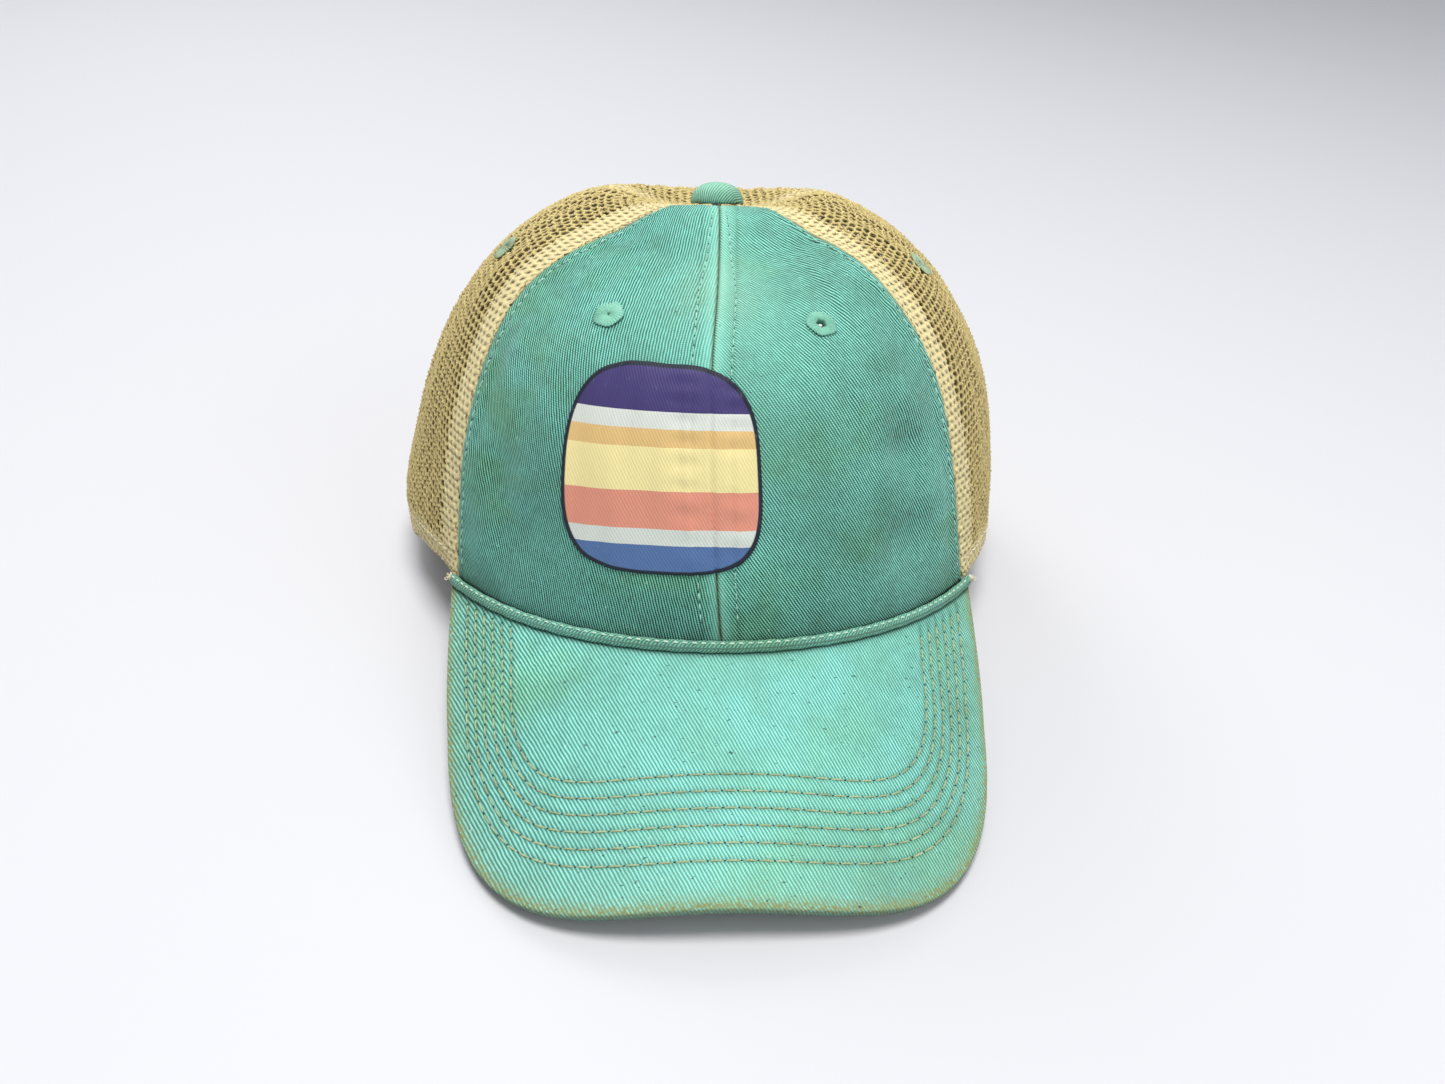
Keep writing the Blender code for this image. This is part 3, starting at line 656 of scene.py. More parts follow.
def plain(name, colour, rough, metallic=0.0, grain=1800.0):
    """Plastic or metal with a fine grain."""
    m = Maker(name)
    spot = m.place()
    fine = m.noise(spot, grain, 3.0, 0.6)
    dim = tuple(c * 0.82 for c in colour)
    base = m.mix(m.ramp(m.noise(spot, 60.0, 3.0, 0.6), 0.3, 0.7), dim, colour)
    m.shader["Metallic"].default_value = metallic
    return m.finish(base, fine, 0.00003, 0.5, m.times(fine, 0.2, rough - 0.1), specular=0.5)


PRINT_BANDS = (
    (0.00, (84, 112, 160)), (0.16, (212, 216, 208)), (0.24, (222, 146, 124)), (0.42, (240, 224, 160)),
    (0.62, (222, 186, 124)), (0.70, (212, 216, 208)), (0.78, (66, 58, 108)),
)


def print_film(name):
    """Heat-pressed film: plain level bands inside a dark line, rubbed along the ribs under it."""
    m = Maker(name)
    bands = m.node("ShaderNodeValToRGB", Fac=m.mark("level"))
    bands.color_ramp.interpolation = "CONSTANT"
    spots = bands.color_ramp.elements
    while len(spots) > 1:
        spots.remove(spots[-1])
    spots[0].position, spots[0].color = PRINT_BANDS[0][0], rgb(*PRINT_BANDS[0][1])
    for at, colour in PRINT_BANDS[1:]:
        spots.new(at).color = rgb(*colour)
    base = m.mix(m.ramp(m.mark("ring"), 0.955, 0.965), bands.outputs["Color"], (34, 40, 52))
    flat = m.cloth()
    rib = m.wave(m.times(m.parts(m.turned(flat, -28.0))[0], math.tau / RIB_PITCH))
    worn = m.ramp(m.times(m.noise(flat, 300.0, 4.0, 0.7), m.times(rib, -0.35, 1.35)), 0.80, 1.0)
    base = m.mix(m.times(worn, 0.30), base, (150, 196, 184))
    return m.finish(base, rib, 0.00010, 0.5, 0.55)


LOOK = {
    # The left front's colours are a little darker than the right's: painted shade, for the left panel lies
    # more in shade
    "front_left": twill(
        "front_left_twill", (10, 68, 60), (146, 234, 216), -15.0, 0.00075, faded=(146, 228, 208)
    ),
    "front_right": twill(
        "front_right_twill", (10, 68, 58), (152, 240, 220), -29.0, 0.00078, faded=(152, 232, 210)
    ),
    "visor": twill(
        "visor_twill", (44, 116, 106), (166, 248, 234), 27.0,
        faded=(160, 240, 228), worn=(134, 138, 84), flecks=0.685,
    ),
    "under": twill("visor_under_twill", (70, 118, 105), (128, 188, 172), 14.0),
    "button": twill("button_twill", (56, 116, 100), (164, 232, 206), 30.0),
    "welt": twill("welt_twill", (36, 100, 88), (138, 218, 198), 35.0, faded=(146, 222, 204)),
    "mesh": knit("khaki_knit", (255, 236, 162), (154, 128, 70), 0.00024),
    "turning": knit("turned_knit", (252, 236, 170), (186, 162, 100), 0.0002),
    # Dark needle pits: painted shade
    "pit_shade": plain("needle_pit_painted_shade", (26, 46, 40), 0.9),
    "plastic": plain("khaki_plastic", (196, 178, 128), 0.42),
    "steel": plain("button_steel", (186, 188, 190), 0.3, metallic=1.0, grain=5000.0),
    "board": plain("visor_board_plastic", (222, 220, 208), 0.55),
    "print": print_film("print_film"),
    "band": woven("sweatband_weave", (190, 172, 122), (134, 118, 76)),
    "tape": woven("tape_weave", (206, 188, 136), (150, 132, 86)),
    "binding": woven("binding_weave", (220, 204, 150), (160, 142, 94), 0.0006),
}
for name, light, dark in (
    ("mint", (178, 222, 204), (104, 160, 142)),
    ("pale", (214, 232, 212), (150, 190, 170)),
    ("eyelet", (150, 208, 186), (88, 152, 132)),
    ("teal", (172, 192, 160), (120, 140, 112)),
    ("olive", (190, 202, 160), (112, 128, 92)),
    ("cream", (244, 236, 208), (188, 176, 138)),
):
    LOOK[name] = thread(name + "_thread", light, dark)


# Crown panels of twill


# Distances of a panel's columns from its seams: close where the seam's relief is, wider further in
EDGE_OFFSETS = (0.07, 0.3, 0.65, 1.1, 1.7, 2.2, 2.5, 2.8, 3.1, 3.5, 4.0, 4.4, 4.9, 5.4, 6.0, 7.0, 8.3)


def columns_across(seam, t):
    """Angles of a panel's columns at height t, their distances from the centre seam, and its width."""
    wide = FRONT_SEAM * float(across_step(seam / 2, t))
    offsets = np.array(EDGE_OFFSETS) * min(1.0, wide / (2.6 * EDGE_OFFSETS[-1]))
    inner = np.linspace(offsets[-1], wide - offsets[-1], 28)[1:-1]
    at = np.concatenate([offsets, inner, (wide - offsets)[::-1]])
    return seam * at / wide, at, wide


def seam_relief(distance, stitch):
    """Height over the plain face near a seam: rolled edge, thick turned-in allowance and stitched groove."""
    allowance = 0.32 * fading(distance, stitch + 1.0, 2.2)
    return allowance - 0.50 * fading(distance, 0.0, 0.8) ** 2 - 0.26 * groove(distance, stitch)


def from_seams(angle, t):
    """Distances of points of the front from the centre seam and from the side seam."""
    step = across_step(angle, t)
    return np.abs(angle) * step, (FRONT_SEAM - np.abs(angle)) * step


def front_relief(angle, t):
    """Height of the front twill over the plain crown at each point."""
    centre, side = from_seams(angle, t)
    rise = seam_relief(np.maximum(centre - 0.1, 0.0), CENTRE_STITCH)
    rise = rise + seam_relief(np.maximum(side - 0.3, 0.0), SIDE_STITCH)
    along = t * 110.0
    rise = rise + 0.16 * np.sin(along * 1.15 + np.sign(angle) * 0.8) * groove(centre, 6.5, 4.0)
    rise = rise + 0.20 * np.sin(along * 0.95) * groove(side, 4.5, 3.5)
    return rise * smooth(FRONT_SEAM * across_step(angle, t) / 22.0)


def cut_round(obj, at, normal, radius, sides=24):
    """Cuts a round hole through a piece, about a line."""
    cos, sin = circle(sides, 0.5)
    ends = [np.stack([radius * cos, radius * sin, np.full(sides, z)], -1) for z in (-5.0, 5.0)]
    mesh = bpy.data.meshes.new("cutter")
    points = np.concatenate(ends) * MM
    mesh.from_pydata(points.tolist(), [], [tuple(map(int, face)) for face in tube_faces(2, sides)])
    cutter = faced_out(added("cutter", mesh))
    upright = Vector((0, 0, 1)).rotation_difference(Vector(normal)).to_matrix().to_4x4()
    cutter.matrix_world = Matrix.Translation(Vector(place(at))) @ upright
    boolean = obj.modifiers.new("hole", "BOOLEAN")
    boolean.solver = "EXACT"
    boolean.object = cutter
    bpy.context.view_layer.update()
    cut = bpy.data.meshes.new_from_object(obj.evaluated_get(bpy.context.evaluated_depsgraph_get()))
    obj.modifiers.clear()
    obj.data = cut
    bpy.data.objects.remove(cutter, do_unlink=True)
    faced_out(obj, split=True)


def twill_panel(side, sign):
    name = "front_panel_" + side
    seam, spine = sign * FRONT_SEAM, sign * 25.0
    heights = even_heights(spine, 0.0, t_at_reach(spine, 2.8), 74)
    walk = walked(plain_crown(spine, heights))
    angles, uv = [], []
    for t, down in zip(heights, walk):
        row, at, wide = columns_across(seam, t)
        angles.append(row)
        uv.append(np.stack([(at - wide / 2) * sign, np.full_like(at, down)], -1) * MM)
    angles, uv = np.array(angles), np.array(uv)
    t = np.broadcast_to(heights[:, None], angles.shape)
    outer = layer(angles, t, -front_relief(angles, t))
    centre, edge = from_seams(angles, t)
    wear_and_painted_shade = 0.22 * groove(centre, 0.0, 0.9) + 0.5 * groove(edge, 0.0, 0.9)
    wear_and_painted_shade = wear_and_painted_shade + 0.16 * groove(angles, sign * 3.0, 9.0) * groove(t, 0.78, 0.12)
    pale = 0.38 * groove(angles, 0.0, 24.0) * smooth(t / 0.35) + 0.5 * groove(centre, 1.2, 1.6)
    # Painted shade in the creases of the centre and side seams, along the centre stitching, and along the rim
    # just above the welt
    shade = 0.50 * fading(centre, 0.15, 0.6) + 0.45 * fading(edge, 0.2, 0.8)
    shade = shade + 0.30 * fading(t, 0.0, 0.10) + 0.22 * groove(centre, CENTRE_STITCH, 0.5)
    marks = {"wear_and_painted_shade": wear_and_painted_shade, "pale": pale, "shade": np.clip(shade, 0, 1)}
    inner = layer(angles, t, CLOTH_THICK)
    obj = sheet_piece(name, outer, inner, LOOK["front_" + side], uv, marks)
    angle, height = EYELETS["front"]
    cut_round(obj, *lifted(angle * sign, height, 0.0), EYELET_CUT)
    cloth(np.ptp(uv[..., 0], axis=1).max() / MM, walk[-1], grid_area(outer) * 0.98)


for side, sign in SIDES:
    twill_panel(side, sign)


# Mesh panels, knitted as a lattice of six-sided holes


def gore_chart(first, last):
    """A flat chart of a panel, in mm: u across from its middle, and v down from the top."""
    angles = np.linspace(min(first, last), max(first, last), 61)
    fine = np.linspace(0.0, 0.9999, 260)
    walk = walked(plain_crown(angles[None, :], fine[:, None])).T
    down = walk[:, -1:] - walk
    levels = np.linspace(0.0, down[:, 0].max(), 150)
    t = np.array([np.interp(levels, row[::-1], fine[::-1]) for row in down])
    across = walked(plain_crown(angles[:, None], t))
    across -= across[len(angles) // 2]
    return {"angles": angles, "levels": levels, "t": t, "across": across, "length": down[:, 0]}


def from_chart(chart, u, v):
    """(angle, t, distance to the low-angle seam, to the high-angle seam, and to the rim) in a chart."""
    levels, across, angles = chart["levels"], chart["across"], chart["angles"]
    k = np.clip(np.searchsorted(levels, v) - 1, 0, len(levels) - 2)
    share = np.clip((v - levels[k]) / (levels[k + 1] - levels[k]), 0, 1)
    angle, low, high = np.empty_like(u), np.empty_like(u), np.empty_like(u)
    for j in np.unique(k):
        here = k == j
        s = share[here]
        above = np.interp(u[here], across[:, j], angles)
        below = np.interp(u[here], across[:, j + 1], angles)
        angle[here] = above * (1 - s) + below * s
        low[here] = u[here] - (across[0, j] * (1 - s) + across[0, j + 1] * s)
        high[here] = (across[-1, j] * (1 - s) + across[-1, j + 1] * s) - u[here]
    i = np.interp(angle, angles, np.arange(len(angles)))
    i0 = np.clip(i.astype(int), 0, len(angles) - 2)
    f = i - i0
    t_low, t_high = (
        chart["t"][column, k] * (1 - share) + chart["t"][column, k + 1] * share for column in (i0, i0 + 1)
    )
    length = np.interp(angle, angles, chart["length"])
    return angle, t_low * (1 - f) + t_high * f, low, high, length - v


def opening_distance(angle, t):
    """How far a point of the back is outside the back opening's arch; negative inside."""
    p = plain_crown(angle, t)
    x, z = p[..., 0], np.maximum(p[..., 2] - ARCH_BASE, 0.0)
    scale = np.hypot(x / ARCH_HALF, z / ARCH_RISE)
    grow = np.hypot(x / ARCH_HALF**2, z / ARCH_RISE**2) / np.maximum(scale, 1e-6)
    return (scale - 1.0) / np.maximum(grow, 1e-6)


# A cell's outline in shares of its size: its six corners, and the middles of its sides between them
HEXAGON = np.array([(0.0, 2 / 3), (0.5, 1 / 3), (0.5, -1 / 3), (0.0, -2 / 3), (-0.5, -1 / 3), (-0.5, 1 / 3)])
CELL_OUTLINE = np.stack([HEXAGON, (HEXAGON + np.roll(HEXAGON, -1, axis=0)) / 2], 1).reshape(12, 2)
CELL_OUTLINE = CELL_OUTLINE * (CELL_WIDE, CELL_TALL)
HOLE_ROUNDING = np.tile([0.86, 1.06], 6)


def mesh_panel(family, side, sign, first, last):
    chart = gore_chart(first * sign, last * sign)
    low_seam, high_seam = chart["angles"][0], chart["angles"][-1]

    def from_front(low, high):
        """Distance from the seam to the front, which the back panels don't have."""
        if family == "back":
            return np.full_like(low, 99.0)
        return high if sign < 0 else low

    # The cells that the panel keeps, by their middles
    columns = int(np.ptp(chart["across"], axis=0).max() / CELL_WIDE / 2) + 3
    rows = int(chart["levels"][-1] / CELL_TALL) + 2
    i, j = np.meshgrid(np.arange(-columns, columns + 1), np.arange(rows), indexing="ij")
    cu, cv = ((i + 0.5 * (j % 2)) * CELL_WIDE).ravel(), (j * CELL_TALL).ravel()
    angle, t, low, high, base = from_chart(chart, cu, cv)
    eyelet = plain_crown(EYELETS[family][0] * sign, EYELETS[family][1])
    keep = (np.minimum(low, high) > -0.25 * CELL_WIDE) & (base > -0.2 * CELL_TALL)
    keep &= (top_reach(angle, t) > 3.4) & (np.linalg.norm(plain_crown(angle, t) - eyelet, axis=-1) > 2.5)
    if family == "back":
        keep &= opening_distance(angle, t) > 0.1
    cu, cv, low, high, base = (part[keep] for part in (cu, cv, low, high, base))

    # The ridges between cells, each point of which two or three cells share
    edge_u = (cu[:, None] + CELL_OUTLINE[:, 0]).ravel()
    edge_v = (cv[:, None] + CELL_OUTLINE[:, 1]).ravel()
    keys = np.round(np.stack([edge_u, edge_v], -1) * 50).astype(np.int64)
    _, where, index = np.unique(keys, axis=0, return_index=True, return_inverse=True)
    index = index.reshape(-1, 12)
    eu, ev = edge_u[where], edge_v[where]
    # Ridge points lie a little off the even lattice, as knitted loops do
    jitter_u = 0.13 * np.sin(eu * 1.9 + ev * 2.3) + 0.08 * np.sin(eu * 5.3 - ev * 3.7)
    jitter_v = 0.11 * np.sin(eu * 2.7 - ev * 1.6) + 0.07 * np.sin(eu * 4.1 + ev * 6.1)
    eu, ev = eu + jitter_u, ev + jitter_v
    _, _, edge_low, edge_high, edge_base = from_chart(chart, eu, ev)
    knots = np.where(where % 2 == 0, 0.24, -0.08) + 0.16 * np.sin(eu * 7.1 + ev * 3.3)

    # The holes: small in the tight knit beside seams, beside the front and at the hem
    dense = fading(np.minimum(low, high), 2.5, 2.5)
    dense = np.maximum(dense, 0.85 * fading(from_front(low, high), 8.0, 2.5))
    dense = np.maximum(dense, 0.9 * fading(base, 7.0, 2.0))
    uneven = 1.0 + 0.12 * np.sin(cu * 3.1 + cv * 1.7) + 0.06 * np.sin(cu * 7.3 - cv * 5.1)
    size = (0.58 * (1.0 - 0.90 * dense) * uneven)[:, None] * HOLE_ROUNDING
    # Where a cell's corners are pushed in to the panel's edge, its hole moves in with them
    in_u = np.maximum(SEAM_EDGE - edge_low, 0.0) - np.maximum(SEAM_EDGE - edge_high, 0.0)
    in_u, in_v = in_u[index].mean(1), np.maximum(SEAM_EDGE - edge_base, 0.0)[index].mean(1)
    sway = np.where((in_u == 0.0) & (in_v == 0.0), 0.10 * np.sin(cv * 1.3 + cu), 0.0)
    hole_u = ((cu + in_u + sway)[:, None] + CELL_OUTLINE[:, 0] * size).ravel()
    hole_v = ((cv - in_v)[:, None] + CELL_OUTLINE[:, 1] * size * 0.98).ravel()
    tight = np.repeat(dense, 12)

    def lay(u, v, *depths):
        """Points at these depths under a place in the chart, kept in from the seams and turned in there."""
        angle, t, low, high, _ = from_chart(chart, u, v)
        width = np.maximum(low + high, 0.5)
        inset = SEAM_EDGE * (high_seam - low_seam) / width
        angle = np.clip(angle, low_seam + inset, high_seam - inset)
        near = np.minimum(np.maximum(low, SEAM_EDGE), high)
        fold = 0.30 * fading(near, 1.0, 8.0) - 0.55 * fading(near, 0.0, 1.2) ** 2
        fold = fold * smooth(width / 25.0)
        return [layer(angle, np.clip(t, 0.001, 0.9999), depth - fold) for depth in depths]

    holes = lay(hole_u, hole_v, CLOTH_THICK * (0.48 - 0.42 * tight))
    points = np.concatenate(lay(eu, ev, -knots, CLOTH_THICK) + holes)
    n = len(eu)
    hole = np.arange(hole_u.size).reshape(-1, 12) + 2 * n
    follow, next_hole = np.roll(index, -1, axis=1), np.roll(hole, -1, axis=1)
    top = np.stack([index, follow, next_hole, hole], -1).reshape(-1, 4)
    bottom = np.stack([index + n, hole, next_hole, follow + n], -1).reshape(-1, 4)
    codes, back = (index * len(points) + follow).ravel(), (follow * len(points) + index).ravel()
    a, b = np.stack([index.ravel(), follow.ravel()])[:, ~np.isin(codes, back)]
    walls = np.stack([b, a, a + n, b + n], -1)
    faces = np.concatenate([top, bottom, walls])

    ridge_uv = np.stack([eu, ev], -1)
    uv = np.concatenate([ridge_uv, ridge_uv, np.stack([hole_u, hole_v], -1)]) * MM
    # The hole rings get painted shade, less where the knit is tight; the ridges get none
    wear_and_painted_shade = np.concatenate([np.zeros(2 * n), 0.85 - 0.6 * tight])
    band = fading(from_front(edge_low, edge_high), 7.0, 4.0)
    band = np.maximum(band, 0.7 * fading(edge_base, 6.0, 4.0))
    marks = {"wear_and_painted_shade": wear_and_painted_shade, "pale": np.concatenate([band, band, tight])}
    name = f"{family}_mesh_panel_{side}"
    obj = build(name, points, closed(points, faces), LOOK["mesh"], uv, marks)
    wide = np.ptp(chart["across"], axis=0).max()
    cloth(wide, chart["levels"][-1], len(cu) * CELL_WIDE * CELL_TALL)


for side, sign in SIDES:
    mesh_panel("side", side, sign, FRONT_SEAM, REAR_SEAM)
    mesh_panel("back", side, sign, REAR_SEAM, 180.0)


# Tapes, turned edges and sweatband


def strip(name, rows, thick, look):
    """A closed strip from a grid of outer points, thickened inwards, rounded at its long edges."""
    outer = np.array(rows)
    normals = unit(np.cross(np.gradient(outer, axis=1), np.gradient(outer, axis=0)))
    if ((outer - np.array([0.0, TOP_Y, 40.0])) * normals).sum() < 0:
        normals = -normals
    soft = np.zeros((*outer.shape[:2], 1))
    soft[0] = soft[-1] = soft[:, 0] = soft[:, -1] = thick * 0.35
    down = walked(outer[:, outer.shape[1] // 2])
    across = walked(outer.swapaxes(0, 1)).T
    uv = np.stack([across, np.broadcast_to(down[:, None], across.shape)], -1) * MM
    obj = sheet_piece(name, outer - normals * soft, outer - normals * (thick - soft), look, uv)
    cloth(across[:, -1].max(), down[-1], grid_area(outer))


def seam_tape(name, angle, low=0.01):
    rows = []
    for k, t in enumerate(even_heights(angle, low, t_at_reach(angle, 13.0), 60)):
        half = min(TAPE_HALF, 0.36 * float(top_reach(angle, t)))
        at = angle + np.linspace(-1, 1, 9) * half / float(across_step(angle, t))
        waves = 0.12 * np.sin(k * 0.55 + np.linspace(0, 2, 9))
        rows.append(layer(at, t, TAPE_DEPTH + 0.12 + waves))
    strip("seam_tape_" + name, rows, 0.5, LOOK["tape"])


fine = np.linspace(0.0, 0.8, 600)
over_binding = ARCH_BASE + ARCH_RISE + BINDING_WIDTH + 3.0
seam_tape("front_center", 0.0)
seam_tape("front_left", -FRONT_SEAM)
seam_tape("front_right", FRONT_SEAM)
seam_tape("rear_left", -REAR_SEAM)
seam_tape("rear_right", REAR_SEAM)
seam_tape("back_center", 180.0, float(np.interp(over_binding, plain_crown(180.0, fine)[:, 2], fine)))

# The mesh is doubled where it is turned in, beside each front seam and round the hem
for side, sign in SIDES:
    seam = sign * FRONT_SEAM
    rows = []
    for t in even_heights(seam, 0.004, t_at_reach(seam, 20.0), 90):
        at = seam + sign * np.linspace(0.4, 11.2, 12) / float(across_step(seam, t))
        rows.append(layer(at, t, 1.15 + 0.10 * np.sin(np.arange(12) * 1.3 + t * 60.0)))
    strip("mesh_turning_front_" + side, rows, 0.7, LOOK["turning"])

for side, sign in SIDES:
    angles = sign * np.linspace(FRONT_SEAM + 0.4, BAND_END - 2.0, 150)
    rows = []
    for k in range(12):
        t = t_along(angles, 0.3 + 10.6 * k / 11, 6)
        rows.append(layer(angles, t, 1.2 + 0.12 * np.sin(k * 1.7 + angles * 0.6)))
    strip("mesh_hem_" + side, rows, 0.7, LOOK["turning"])

angles = np.linspace(-BAND_END, BAND_END, 261)
band_top = t_along(angles, BAND_HEIGHT, 5)
rows = []
for share in np.linspace(0.0, 1.0, 17):
    bulge = (0.15 + 0.06 * np.sin(angles * 0.5)) * math.sin(math.pi * share)
    rows.append(layer(angles, 0.006 + (band_top - 0.006) * share, BAND_DEPTH - bulge))
strip("sweatband", rows, 1.0, LOOK["band"])


# Back opening and its folded binding


def arch_point(share, out):
    """A point of the back opening's edge, moved away from the opening. 0 and 1 are its feet."""
    curve = math.pi * math.sqrt((ARCH_HALF**2 + ARCH_RISE**2) / 2)
    along = share * (2 * ARCH_BASE + curve)
    if along < ARCH_BASE:
        return -ARCH_HALF - out, along
    if along > ARCH_BASE + curve:
        return ARCH_HALF + out, 2 * ARCH_BASE + curve - along
    turn = math.pi * (1.0 - (along - ARCH_BASE) / curve)
    n = unit(np.array([math.cos(turn) / ARCH_HALF, math.sin(turn) / ARCH_RISE]))
    return ARCH_HALF * math.cos(turn) + n[0] * out, ARCH_BASE + ARCH_RISE * math.sin(turn) + n[1] * out


def arch_row(out, depth, count=150):
    """Points along the arch, this far out from it and this deep, as lifted() gives them."""
    spots = np.array([arch_point(0.004 + 0.992 * k / count, out) for k in range(count + 1)])
    return lifted(*on_back(spots[:, 0], spots[:, 1]), -depth)


# The binding folds round the mesh's edge: (distance from the arch, depth) from outside to inside
BINDING_OUTER = (
    (BINDING_WIDTH, -0.55), (4.0, -0.75), (2.0, -0.72), (0.2, -0.75), (-0.65, -0.35), (-0.95, 0.45),
    (-0.65, 1.35), (0.2, 1.72), (2.0, 1.75), (4.0, 1.75), (BINDING_WIDTH, 1.62),
)
BINDING_INNER = (
    (BINDING_WIDTH, -0.25), (4.0, -0.35), (2.0, -0.32), (0.4, -0.35), (-0.25, -0.1), (-0.5, 0.45),
    (-0.25, 1.1), (0.4, 1.32), (2.0, 1.35), (4.0, 1.35), (BINDING_WIDTH, 1.25),
)
section, core = (
    np.array([arch_row(out, depth)[0] for out, depth in line]) for line in (BINDING_OUTER, BINDING_INNER)
)
down, along = walked(section[:, 75]), walked(section[3])
uv = np.stack(np.broadcast_arrays(along[None, :], down[:, None]), -1) * MM
binding = sheet_piece("back_opening_binding", section, core, LOOK["binding"], uv)
cloth(down[-1], along[-1], down[-1] * along[-1] * 0.99)
stitches("binding_stitches", *arch_row(4.6, -0.80), LOOK["cream"], 3.0, 0.78, 0.24)


# Visor


def visor_normal(x):
    reach = np.clip(x, -VISOR_RADIUS * 0.98, VISOR_RADIUS * 0.98)
    tilt = reach / np.sqrt(VISOR_RADIUS**2 - reach**2)
    return unit(np.stack([tilt, np.full_like(tilt, -VISOR_SLOPE), np.ones_like(tilt)], -1))


def visor_at(plan, depth):
    """Points this far under the visor's top, which is slightly uneven with wear."""
    x, y = plan[..., 0], plan[..., 1]
    lift = 0.35 * np.sin(x * 0.045 + 0.6) * np.sin((y + 110.0) * 0.05) + 0.12 * np.sin(x * 0.12 + y * 0.09)
    flat = np.stack([x, y, visor_height(x, y)], -1)
    return flat - visor_normal(x) * (depth - lift * smooth((-y - 100.0) / 20.0))[..., None]


def nested_outline(side, ahead, count, blunt=0.0):
    """The visor's free edge in plan, drawn in by side at its sides and by ahead at its front."""
    corner_x, corner_y = rim_plan(FRONT_SEAM)
    start = corner_x + CORNER_WIDTH - side
    widest = VISOR_HALF_WIDTH - side
    reach = FRONT_REACH + VISOR_LENGTH + corner_y - ahead
    turn = np.pi * (1.0 - np.arange(1601) / 1600)
    forward = np.maximum(np.sin(turn), 0.0) ** (0.62 - 0.20 * blunt)
    half = start + (widest - start) * np.minimum(forward * 2.2, 1.0)
    across = np.sign(np.cos(turn)) * np.abs(np.cos(turn)) ** (0.5 - 0.14 * blunt)
    dense = np.stack([half * across, corner_y - reach * forward], -1)
    walk = walked(dense)
    return between(np.linspace(0.0, walk[-1], count + 1), walk, dense)


def moved_out(plan, out):
    return plan + sideways(unit(np.gradient(plan, axis=0))) * out


def visor_root(gap, count):
    """The line where the visor meets the crown, this far in front of it."""
    angle = FRONT_SEAM * (2.0 * np.arange(count + 1) / count - 1.0)
    plan, ahead, behind = (np.stack(rim_plan(angle + step), -1) for step in (0.0, 0.3, -0.3))
    return plan + sideways(unit(ahead - behind)) * gap


def stitched_row(k):
    plan = nested_outline(5.0 + 2.5 * k, 10.8 + 4.25 * k, 900, (k + 1) / 6)
    keep = (plan[:, 0] / HALF_WIDTH) ** 2 + (plan[:, 1] / FRONT_REACH) ** 2 > (1.0 + 3.6 / 100.0) ** 2
    return plan[keep]


ROW_PLANS = [stitched_row(k) for k in range(6)]


def row_distance(plan):
    """Distance in plan from the nearest row of stitching."""
    flat = plan.reshape(-1, 2)
    nearest = np.full(len(flat), 1e9)
    for row in ROW_PLANS:
        for part in np.array_split(np.arange(len(flat)), max(len(flat) // 4000, 1)):
            gaps = flat[part][:, None, :] - row[None, ::3, :]
            nearest[part] = np.minimum(nearest[part], (gaps**2).sum(-1).min(1))
    return np.sqrt(nearest).reshape(plan.shape[:-1])


# How the top cover wraps the board's edge: (out from the edge, depth, wear), and the same inside
WRAP_OUTER = ((0.25, 0.12, 1.0), (0.45, 0.45, 1.0), (0.55, 1.2, 0.9), (0.55, 2.2, 0.7), (0.45, 2.95, 0.5))
WRAP_INNER = ((-0.15, 0.75), (-0.05, 0.8), (0.0, 1.2), (0.0, 2.2), (0.0, 2.9))


def visor_cover(name, top, look, depth, columns, rows):
    """A visor cover. top is stitched, and wraps over the edge of the board."""
    root, free = visor_root(VISOR_GAP, columns), nested_outline(0.0, 0.0, columns)
    share = np.linspace(0.0, 1.0, rows + 1)[:, None, None]
    plan = root * (1 - share) + free * share
    near = np.minimum(np.linalg.norm(plan - free, axis=-1), 30.0)
    from_root = np.linalg.norm(plan - root, axis=-1)
    outer, inner = visor_at(plan, depth), visor_at(plan, depth + COVER_THICK)
    wear_and_painted_shade = 0.80 * groove(near, 0.0, 2.0) + 0.36 * np.exp(-near / 9.0)
    pale = 0.5 * groove(plan[..., 0], 0.0, 55.0)
    # Painted shadow along the root, under the welt
    shade = 0.30 * fading(from_root, 0.0, 5.0) + 0.50 * fading(from_root, 1.5, 1.4)
    if top:
        from_row = row_distance(plan)
        pucker = 0.10 * np.sin(plan[..., 0] * 0.9) * groove(near, 3.0, 3.0)
        outer = visor_at(plan, depth + 0.24 * groove(from_row, 0.0, 0.75) - pucker)
        # Painted shade along the stitched grooves
        shade = np.clip(shade + 0.42 * groove(from_row, 0.0, 0.65), 0.0, 1.0)
        outer = np.concatenate([outer, [visor_at(moved_out(free, out), deep) for out, deep, _ in WRAP_OUTER]])
        inner = np.concatenate([inner, [visor_at(moved_out(free, out), deep) for out, deep in WRAP_INNER]])
        edge = np.ones((len(WRAP_OUTER), columns + 1))
        wear_and_painted_shade = np.concatenate([wear_and_painted_shade, edge * np.array(WRAP_OUTER)[:, 2:]])
        pale = np.concatenate([pale, edge * pale[-1]])
        # Painted shade on the wrapped edge, darker towards its underside
        shade = np.concatenate([shade, edge * np.linspace(0.15, 0.75, len(edge))[:, None]])
    down = walked(outer)
    uv = np.stack([outer[..., 0], np.maximum(down - down[rows], 0.0) - outer[..., 1] * 1.055], -1) * MM
    marks = {"wear_and_painted_shade": wear_and_painted_shade, "pale": pale, "shade": np.clip(shade, 0.0, 1.0)}
    obj = sheet_piece(name, outer, inner, look, uv, marks)
    wide, long = 2 * (VISOR_HALF_WIDTH + 4.0), FRONT_REACH + VISOR_LENGTH - 60.0
    cloth(wide, long, grid_area(outer) * 0.97)


visor_cover("visor_top_cover", True, LOOK["visor"], 0.0, 240, 110)
visor_cover("visor_under_cover", False, LOOK["under"], UNDER_TOP, 120, 30)

